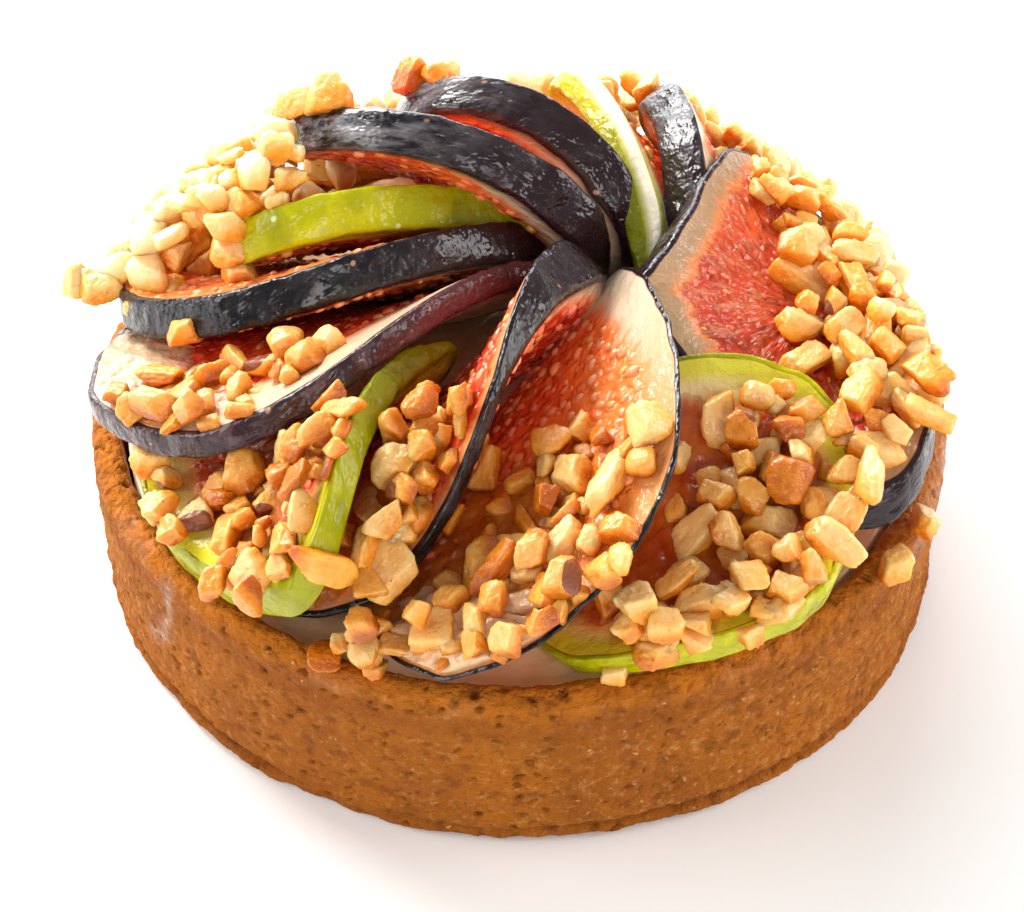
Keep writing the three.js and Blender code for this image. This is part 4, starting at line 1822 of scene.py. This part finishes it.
def placed_nuts(slices: list[FigSlice], settler: Settler) -> list[Chip]:
    """Places the large nuts that catch the eye on the slices.

    Each is given by its slice, its place along and across that slice and its size, in
    millimetres, how brown it is, and its cut.

    Args:
        slices: the pinwheel.
        settler: what drops the nuts.

    Returns:
        The nuts.
    """
    chunk, flake, round_, stick = Cut.CHUNK, Cut.FLAKE, Cut.ROUND, Cut.STICK
    layers, lifts = 1.6, (14.0, 8.0, 5.0)
    spots = {
        1: ((26, 7, 3.6, 0.45, chunk), (28.5, 17.5, 5.4, 0.0, chunk),
            (31.5, 8.5, 4.8, 0.25, chunk), (33.5, 14, 5.0, 0.12, stick),
            (27.5, 3, 3.8, 0.3, flake), (31, 2, 3.6, 0.6, chunk), (33, 5.5, 3.4, 0.45, stick),
            (34, 0, 3.8, 0.65, chunk), (34.5, -6, 4.2, 0.7, flake), (28.5, -4, 4.8, 0.3, stick),
            (26.5, -5, 3.2, 0.0, round_), (38.5, 9.5, 4.6, 0.0, chunk),
            (39, 4, 4.6, 0.35, stick), (38, 16, 4.2, 0.75, chunk), (39.5, -3.5, 5.2, 0.5, chunk),
            (38.5, 0, 4.2, 0.55, flake), (44, 3, 3.8, 0.3, round_),
            (43.5, 9.5, 4.0, 0.65, chunk), (46.5, 12.5, 5.2, 0.2, chunk),
            (50.5, 6, 4.0, 0.75, flake), (44, -6, 6.0, 0.25, chunk), (48, -2, 6.4, 0.3, chunk),
            (47, 3, 4.4, 0.35, chunk), (42, -8, 4.6, 0.2, chunk), (36, -9, 3.4, 0.05, round_),
            (42, 15, 3.6, 0.5, chunk)),
        2: ((14, 4, 3.2, 0.0, round_), (21, 4.5, 4.8, 0.08, chunk), (22, -1.5, 5.4, 0.12, stick),
            (26, 4, 4.8, 0.12, chunk), (24, -5, 4.6, 0.0, flake), (26.5, -1, 4.0, 0.3, chunk),
            (28, -7, 4.8, 0.25, chunk), (30, -5, 3.4, 0.3, chunk), (32.5, -3.5, 3.2, 0.5, chunk),
            (27, -11, 5.0, 0.1, chunk), (25.5, -13.5, 4.0, 0.2, chunk),
            (30.5, 6, 3.4, 0.2, stick), (28, 9.5, 4.4, 0.15, chunk), (24, 9, 4.4, 0.35, chunk),
            (20, 9, 4.2, 0.2, stick), (15, 9, 5.2, 0.1, stick), (22, 13, 4.6, 0.15, chunk),
            (16, -9, 4.4, 0.1, stick), (20, -11, 4.6, 0.4, chunk), (12, -3, 3.6, 0.5, chunk),
            (18, 0, 3.4, 0.5, chunk), (28.5, -12, 4.0, 0.3, chunk), (30, -9.4, 3.8, 0.2, flake),
            (33, -1.5, 4.0, 0.3, chunk), (32.5, 5.4, 4.2, 0.15, stick),
            (31.5, 2, 3.6, 0.3, chunk), (31.5, -6.5, 3.8, 0.1, chunk)),
        3: ((26, 17.5, 4.6, 0.3, stick), (28.5, 13.5, 5.0, 0.1, chunk),
            (23, 8.5, 5.2, 0.2, stick), (19.5, 3.5, 5.0, 0.3, stick), (21, 1.6, 4.0, 0.9, flake),
            (17, -3.2, 5.0, 0.15, stick), (17, -7.7, 5.2, 0.3, stick),
            (22, -4.1, 4.6, 0.4, chunk), (27, 1.6, 4.6, 0.2, chunk),
            (27.5, -2.3, 5.0, 0.2, stick), (25, -5.9, 5.2, 0.4, stick),
            (21.5, -8.3, 4.4, 0.2, round_), (28.5, -6.5, 4.2, 0.3, chunk),
            (27, -10.9, 5.0, 0.15, stick), (23.5, -13.6, 5.0, 0.3, chunk),
            (20.5, -13, 4.2, 0.15, flake), (28, 7, 4.6, 0.2, chunk), (24, 4.9, 4.2, 0.3, chunk),
            (18.5, -11.7, 3.6, 0.2, chunk), (20.5, -6, 4.4, 0.3, chunk),
            (20.5, -9.8, 4.4, 0.2, stick), (21, -15.8, 4.4, 0.25, chunk),
            (24, -9.6, 4.2, 0.4, chunk), (24, -16.8, 4.0, 0.2, stick),
            (27, -14.5, 4.4, 0.3, chunk), (29, -3, 4.2, 0.25, chunk),
            (24.5, 0.5, 4.2, 0.35, stick), (25.5, -19.6, 4.6, 0.2, stick),
            (20, -20.2, 4.8, 0.15, stick), (22.5, -18.4, 3.8, 0.4, chunk)),
        8: ((34, 6, 4.6, 0.1, chunk), (33, 10, 5.0, 0.0, chunk), (31, 14, 5.0, 0.15, stick),
            (28.5, 17, 4.6, 0.1, chunk), (33, 1, 4.6, 0.2, chunk), (34.5, -3, 4.6, 0.1, chunk)),
        9: ((37, -4, 4.8, 0.2, chunk), (40, -3, 4.6, 0.1, stick), (43, -2, 4.4, 0.2, chunk),
            (34, -5, 4.6, 0.3, chunk), (39, -8, 4.8, 0.15, chunk), (35, -10, 4.6, 0.1, stick)),
        10: ((38, 1, 4.6, 0.4, chunk), (35, 3, 3.0, 0.3, chunk), (33.5, 7, 4.6, 0.2, round_),
             (29.5, 9, 3.2, 0.5, chunk), (26, 14, 3.4, 0.2, chunk), (35.5, 13, 3.2, 0.2, chunk),
             (42, 3, 4.2, 0.65, stick), (40, 9, 4.0, 0.6, stick), (37, 8, 4.0, 0.7, chunk),
             (38, -4, 3.0, 0.8, flake), (32, 11, 3.6, 0.15, chunk)),
        11: ((33, -1.6, 3.8, 0.2, chunk), (32.5, 0.5, 3.4, 0.3, stick),
             (30.5, -4, 3.4, 0.25, chunk), (27.5, -2.5, 3.2, 0.5, flake),
             (19.5, 9, 5.4, 0.05, chunk), (28.5, 16, 5.0, 0.1, chunk), (30, 3, 3.8, 0.15, chunk),
             (32.5, 2, 2.8, 0.4, chunk), (28.5, 9, 4.4, 0.6, stick), (31, -6, 3.8, 0.3, chunk),
             (24, 2, 3.8, 0.35, flake), (27, 3, 4.2, 0.7, chunk), (21.5, 4, 3.2, 0.3, chunk),
             (18, 2, 4.8, 0.3, chunk), (14.5, 4, 4.4, 0.6, chunk), (24, 10, 3.2, 0.35, chunk)),
        12: ((27, 2, 3.6, 0.1, chunk), (27, 5, 3.8, 0.15, chunk), (28, 10, 4.6, 0.1, stick),
             (29, 2, 3.2, 0.4, chunk), (31, 9, 3.8, 0.05, chunk), (33, 1, 4.0, 0.2, stick),
             (35.5, 5, 4.0, 0.15, stick), (34, 9, 3.0, 0.0, chunk), (36.5, 12, 3.6, 0.0, chunk),
             (38, 9, 3.6, 0.2, stick), (39, 3, 4.0, 0.7, chunk), (42, 3, 2.8, 0.3, chunk),
             (24, 11, 4.2, 0.6, chunk)),
    }
    made = []
    for number, places in spots.items():
        for along, across, size, tone, cut in places:
            fig = slices[number - 1]
            landed = drop_on(fig, along, across, size, settler, layers, lifts)
            if landed is not None:
                made.append(Chip(landed[0], size, landed[1], tone, cut))
    return made


def rim_nuts(settler: Settler) -> list[Chip]:
    """Places single nuts on the rim, on the heaps, and stuck to the slices' edges.

    Those on the rim and the crest of a heap are given by their place in plan, and drop
    straight down; the leaning ones by their place in space. Then come their size, how brown
    they are, and their cut.

    Args:
        settler: what drops the nuts.

    Returns:
        The nuts.
    """
    chunk, stick = Cut.CHUNK, Cut.STICK
    rim = (
        (-17.7, -39.7, 4.6, 0.6, stick), (10.6, -42.0, 4.0, 0.15, chunk),
        (24.5, -36.0, 3.6, 0.3, chunk), (33.0, -28.1, 4.6, 0.0, stick),
        (9.0, -42.6, 4.0, 0.2, chunk), (21.1, -39.4, 4.0, 0.3, chunk),
        (-9.0, -42.0, 3.2, 0.4, chunk), (-46.0, 7.0, 5.2, 0.15, stick),
        (-44.5, 11.0, 4.8, 0.1, chunk), (-28.0, 25.0, 5.0, 0.2, stick),
        (-10.8, 23.0, 5.2, 1.0, chunk), (-8.0, 21.5, 4.4, 0.2, chunk),
        (9.0, 32.5, 4.6, 0.2, chunk), (14.5, 32.0, 4.4, 0.1, chunk),
        (20.0, 28.0, 5.0, 0.15, chunk), (24.4, 26.5, 4.6, 0.25, stick),
    )
    crest = ((-22.5, 15.5, 6.2, 0.1, chunk), (-19.5, 13.5, 5.6, 0.05, chunk))
    leaning = (
        (40.4, -22.0, 21.3, 4.6, 0.3, chunk), (36.7, -27.7, 21.2, 4.6, 0.3, chunk),
        (-29.0, -0.2, 41.2, 4.8, 0.1, chunk), (-29.1, -0.4, 38.4, 5.2, 0.05, stick),
        (-28.4, -0.9, 36.4, 4.6, 0.15, chunk), (-44.0, 5.0, 29.9, 5.4, 0.1, chunk),
        (-46.3, 5.6, 29.2, 4.0, 0.2, chunk), (9.0, -41.8, 21.7, 3.8, 0.15, chunk),
        (12.8, -43.1, 25.9, 4.2, 0.35, chunk), (16.1, -42.5, 27.1, 4.4, 0.2, chunk),
        (21.0, -41.7, 26.9, 4.0, 0.3, chunk), (24.6, -39.9, 28.5, 4.4, 0.25, stick),
    )
    made = [Chip(Vector((x, y, z)), size, Vector((0, 0, 1)), tone, cut)
            for x, y, z, size, tone, cut in leaning]
    for spots, capped in ((rim, True), (crest, False)):
        for x, y, size, tone, cut in spots:
            landed = drop_down((x, y), size, settler)
            if landed is None or (capped and not settler.ceiling.clears(landed[0], size)):
                continue
            made.append(Chip(landed[0], size, landed[1], tone, cut))
    return made


@dataclass
class Heap:
    """A heap of chopped nuts on the round end of one slice, and the bank behind it.

    fig is the slice that carries it; at its middle, as a share of that slice's length and
    half width; size its half length, half width and height; bearings where it starts and
    ends round the tart, in degrees, and reach from where to where outwards; tries how many
    nuts are dropped; tone how brown they are on average; core the share of its size that is
    the lumpy core under them.
    """

    node: str
    fig: int
    at: tuple[float, float]
    size: tuple[float, float, float]
    bearings: tuple[float, float] = (0.0, 0.0)
    reach: tuple[float, float] = (37.0, 45.5)
    tries: int = 160
    tone: float = 0.3
    core: float = 0.6

    def frame(self, slices: list[FigSlice]) -> tuple[np.ndarray, np.ndarray]:
        """Places the heap on its slice.

        Args:
            slices: the pinwheel.

        Returns:
            The heap's middle, and its directions along, across and out.
        """
        fig = slices[self.fig - 1]
        share = np.array([self.at[0]])
        centre, across, normal = fig.frame_at(share)
        half = fig.swell(np.minimum(share, 1.0))[0]
        thickness = fig.half_thickness(self.at[0] * fig.size[0])
        middle = centre[0] + across[0] * self.at[1] * half + normal[0] * thickness
        along = np.cross(across[0], normal[0])
        return middle, np.array([along, across[0], normal[0]])

    def build_core(self, slices: list[FigSlice], material: bpy.types.Material) -> bpy.types.Object:
        """Makes the lumpy core under the heap's nuts.

        Args:
            slices: the pinwheel.
            material: the nuts' finish.

        Returns:
            The piece, which stands for the heap's CAD node.
        """
        middle, axes = self.frame(slices)
        turn = np.linspace(0, 2 * math.pi, 90, endpoint=False)
        rings = [np.stack([np.sin(t) * np.cos(turn), np.sin(t) * np.sin(turn),
                           np.full(90, math.cos(t))], -1)
                 for t in np.linspace(0, math.pi, 47)[1:-1]]
        ball = np.vstack([*rings, [[0, 0, 1]], [[0, 0, -1]]])
        size = np.array(self.size) * self.core
        lumps = smooth_noise(ball * size + self.fig * 20, 2.0, 3)
        shape = ball * size + ball * lumps[:, None] * 0.5
        corners = middle - axes[2] * 1.5 + shape @ axes
        # Painted shade: the core is painted browner than its nuts, and browner still in its dents,
        # for the shade in the gaps between nuts.
        tones = self.tone + 0.35 - 0.5 * lumps
        marks = {"tone": tones, "husk": np.zeros(len(ball))}
        piece = make_piece(f"{self.node}_core", corners, ring_faces(45, 90), marks)
        return dress(piece, material, "nuts", self.node)

    def chips(self, settler: Settler, rng: np.random.Generator) -> list[Chip]:
        """Piles up the bank of nuts.

        Args:
            settler: what drops the nuts.
            rng: the source of chance.

        Returns:
            The bank's nuts.
        """
        made = []
        for _ in range(self.tries):
            bearing = math.radians(rng.uniform(*self.bearings))
            radius = math.sqrt(rng.uniform(self.reach[0] ** 2, self.reach[1] ** 2))
            outward = Vector((math.cos(bearing), math.sin(bearing), 0))
            way = (Vector((0, 0, -1)) - outward * rng.uniform(0.0, 0.5)).normalized()
            size = float(2.6 + 3.2 * rng.beta(1.8, 2.0))
            landed = settler.drop(outward * radius + Vector((0, 0, 30)) - way * 30, way, size)
            if landed is None or not settler.ceiling.clears(landed[0], size):
                continue
            middle = landed[0]
            far = math.hypot(middle.x, middle.y)
            if middle.z < 19.5 or not self.reach[0] - 6 < far < self.reach[1] + 0.8:
                continue
            settler.keep(middle, size)
            tone = float(np.clip(rng.normal(self.tone, 0.24), 0, 1))
            made.append(Chip(middle, size, landed[1], tone))
        return made


def nut_heaps() -> list[Heap]:
    """The deep heaps, counter-clockwise from the right."""
    # The heaps on the left and back left get paler tones: painted light where they are lit from
    # behind.
    return [
        Heap("nuts_right", 3, (0.78, -0.1), (11, 19, 3.6), (-12, 24), (36, 43), 150, core=0.3),
        Heap("nuts_back_right", 4, (0.95, 0), (12, 14, 8), (20, 66), (33, 45.5), 360, core=0.4),
        Heap("nuts_back", 6, (1.08, -0.1), (13, 17, 9), (64, 112), (37, 45.5), 360, core=0.3),
        Heap("nuts_back_left", 7, (1.08, 0), (12, 15, 9), (110, 145), (36, 45.5), 360, 0.2, 0.3),
        Heap("nuts_left", 8, (1.18, 0), (12, 15, 9), (143, 168), (32, 45.5), 620, 0.16, core=0.4),
        Heap("nuts_left_rim", 9, (0.9, 0.2), (11, 10, 6), (158, 175), (33, 46.5), 320, 0.16, 0.4),
    ]


def sprinkles() -> list[Sprinkle]:
    """The layers of nuts on the slices, counter-clockwise from the front."""
    # The nuts on the front slices get browner tones, partly for their syrup and partly as painted
    # shade; those on slices 8 and 9 get paler tones, painted light where they are lit from behind.
    return [
        Sprinkle(1, (26, 51), (-16, 17), 700, (1.8, 4.4), 1.3, 0.9, tone=0.6, lift=9.0),
        Sprinkle(2, (9, 24), (-16, 9), 200, (1.8, 4.2), layers=0.9, tone=0.5),
        Sprinkle(2, (16, 34.5), (-17, 16), 700, (1.8, 4.6), 1.2, 1.3, tone=0.46),
        Sprinkle(3, (18, 31), (-21.5, 20), 560, (2.4, 5.0), layers=1.5, tone=0.4),
        Sprinkle(9, (30, 46), (-17, 5), 520, (2.8, 5.6), layers=4.0, tone=0.12),
        Sprinkle(8, (24, 36), (-17, 19), 420, (2.6, 5.4), layers=3.0, tone=0.12),
        Sprinkle(10, (28, 48), (1, 19), 110, (1.8, 4.4), thicken=1.3, layers=0.7, tone=0.4),
        Sprinkle(11, (13, 33), (2, 20), 300, (1.8, 4.4), 1.0, 1.0, tone=0.45, lift=9.0),
        Sprinkle(12, (25, 47), (-9, 15), 900, (2.0, 4.6), 1.0, 2.0, tone=0.28, lift=8.0),
    ]


# ------------------------------------------------------------------ studio


@dataclass(frozen=True)
class Lamp:
    """A round soft lamp: its place and size in metres, its power in watts, its colour."""

    name: str
    place: tuple[float, float, float]
    size: float
    power: float
    colour: Colour = (1.0, 0.98, 0.95)

    def build(self, aim: Vector) -> None:
        """Adds the lamp.

        Args:
            aim: what it points at, in metres.
        """
        light = bpy.data.lights.new(self.name, "AREA")
        light.shape = "DISK"
        light.size = self.size
        light.energy = self.power
        light.color = self.colour
        lamp = bpy.data.objects.new(self.name, light)
        lamp.location = self.place
        lamp.rotation_euler = (aim - lamp.location).to_track_quat("-Z", "Y").to_euler()
        bpy.context.scene.collection.objects.link(lamp)


@dataclass
class Studio:
    """A pale floor, soft light from behind and above, and the camera.

    focus is what the camera looks at and pivot what it is turned about, in millimetres;
    distance is from the pivot, elevation in degrees above level, lens in millimetres.
    """

    focus: tuple[float, float, float] = (-0.63, -11.07, 20.0)
    pivot: tuple[float, float, float] = (0.0, 0.0, 20.0)
    distance: float = 250.0
    elevation: float = 41.79
    lens: float = 82.7
    sensor: float = 36.0
    floor_half: float = 1.5
    sky: float = 0.42
    lamps: tuple[Lamp, ...] = (
        Lamp("window", (-0.34, 0.40, 0.40), 0.36, 6.4, (1.0, 0.99, 0.97)),
        Lamp("back_window", (-0.10, 0.70, 0.30), 0.70, 6.0, (0.97, 0.99, 1.0)),
        Lamp("right_window", (0.55, 0.05, 0.22), 0.40, 2.3),
        Lamp("left_window", (-0.55, -0.02, 0.26), 0.40, 2.0),
        Lamp("front_fill", (0.15, -0.6, 0.30), 0.40, 2.0, (1.0, 0.97, 0.93)),
    )

    def build(self) -> None:
        """Makes the floor, the lights and the camera."""
        self._floor()
        self._sky()
        for lamp in self.lamps:
            lamp.build(Vector(self.pivot) * MM)
        self._camera()

    def _floor(self) -> None:
        """Makes the floor."""
        half = self.floor_half
        corners = [(-half, -half, 0), (half, -half, 0), (half, half, 0), (-half, half, 0)]
        mesh = bpy.data.meshes.new("floor")
        mesh.from_pydata(corners, [], [(0, 1, 2, 3)])
        floor = bpy.data.objects.new("floor", mesh)
        bpy.context.scene.collection.objects.link(floor)
        tree = ShaderTree("pale_floor")
        cloud = tree.noise(tree.place_mm(), 60.0, 3.0)
        colour = tree.mix(cloud, (0.92, 0.92, 0.92), (0.95, 0.95, 0.95))
        mesh.materials.append(tree.finish(Base_Color=colour, Roughness=0.6))

    def _sky(self) -> None:
        """Lights the scene evenly from all round."""
        world = bpy.data.worlds.new("sky")
        world.use_nodes = True
        background = world.node_tree.nodes["Background"]
        background.inputs["Color"].default_value = (1.0, 1.0, 1.0, 1.0)
        background.inputs["Strength"].default_value = self.sky
        bpy.context.scene.world = world

    def _camera(self) -> None:
        """Sets the camera in front of the tart, looking down at it."""
        rise = math.radians(self.elevation)
        place = Vector(self.pivot) + self.distance * Vector((0, -math.cos(rise), math.sin(rise)))
        data = bpy.data.cameras.new("camera")
        data.sensor_width = self.sensor
        data.lens = self.lens
        data.clip_start = 0.01
        camera = bpy.data.objects.new("camera", data)
        camera.location = place * MM
        aim = Vector(self.focus) - place
        camera.rotation_euler = aim.to_track_quat("-Z", "Y").to_euler()
        bpy.context.scene.collection.objects.link(camera)
        bpy.context.scene.camera = camera
        bpy.context.scene.view_settings.view_transform = "Standard"


# ------------------------------------------------------------------ the tart


def main() -> None:
    """Builds the tart, piece by piece, and then the studio."""
    logging.basicConfig(level=logging.INFO, format="%(name)s %(message)s", force=True)
    crust = CrustFinish().build()
    nut, glazed, lit_pale = (finish.build() for finish in NUT_FINISHES)
    figs = {finish.kind: finish.build() for finish in FIG_FINISHES}
    shell = Shell().build(crust)
    slices = pinwheel()
    pieces = [fig.build(figs[fig.kind]) for fig in slices]
    Seeds().build(slices, SeedFinish().build())
    cream = Cream().build(tree_of(pieces), CreamFinish().build())
    Syrup().build(slices, SyrupFinish().build())
    heaps = nut_heaps()
    cores = [heap.build_core(slices, nut) for heap in heaps]
    settler = Settler(tree_of([*pieces, shell, cream, *cores]))
    rng = np.random.default_rng(SCATTER_SEED)
    placed = placed_nuts(slices, settler)
    scattered = [sprinkle.chips(slices, settler, rng) for sprinkle in sprinkles()]
    front, right_1, right_2, right, left_1, left_2, left_3, left_4, middle = scattered
    far = [chip for heap in heaps for chip in heap.chips(settler, rng)]
    heaped = left_1 + left_2 + far
    half = len(heaped) // 2
    # The darker copy goes on the front nuts, partly painted shade, and the paler copy on the
    # heaps, painted light.
    for maker, material in (
            (ChipMaker("placed_nuts", placed + rim_nuts(settler), seed=2), nut),
            (ChipMaker("loose_nuts", front + left_3 + left_4 + middle, 3.0, seed=3), glazed),
            (ChipMaker("glazed_nuts", right_1 + right_2, 3.0, seed=4), glazed),
            (ChipMaker("right_nuts", right, 3.0, seed=5), nut),
            (ChipMaker("heaped_nuts", heaped[:half], 9.0, seed=6), lit_pale),
            (ChipMaker("banked_nuts", heaped[half:], 9.0, seed=7), lit_pale)):
        maker.build(material)
        log.info("%s holds %d nuts", maker.name, len(maker.chips))
    Studio().build()


if __name__ == "__main__":
    main()
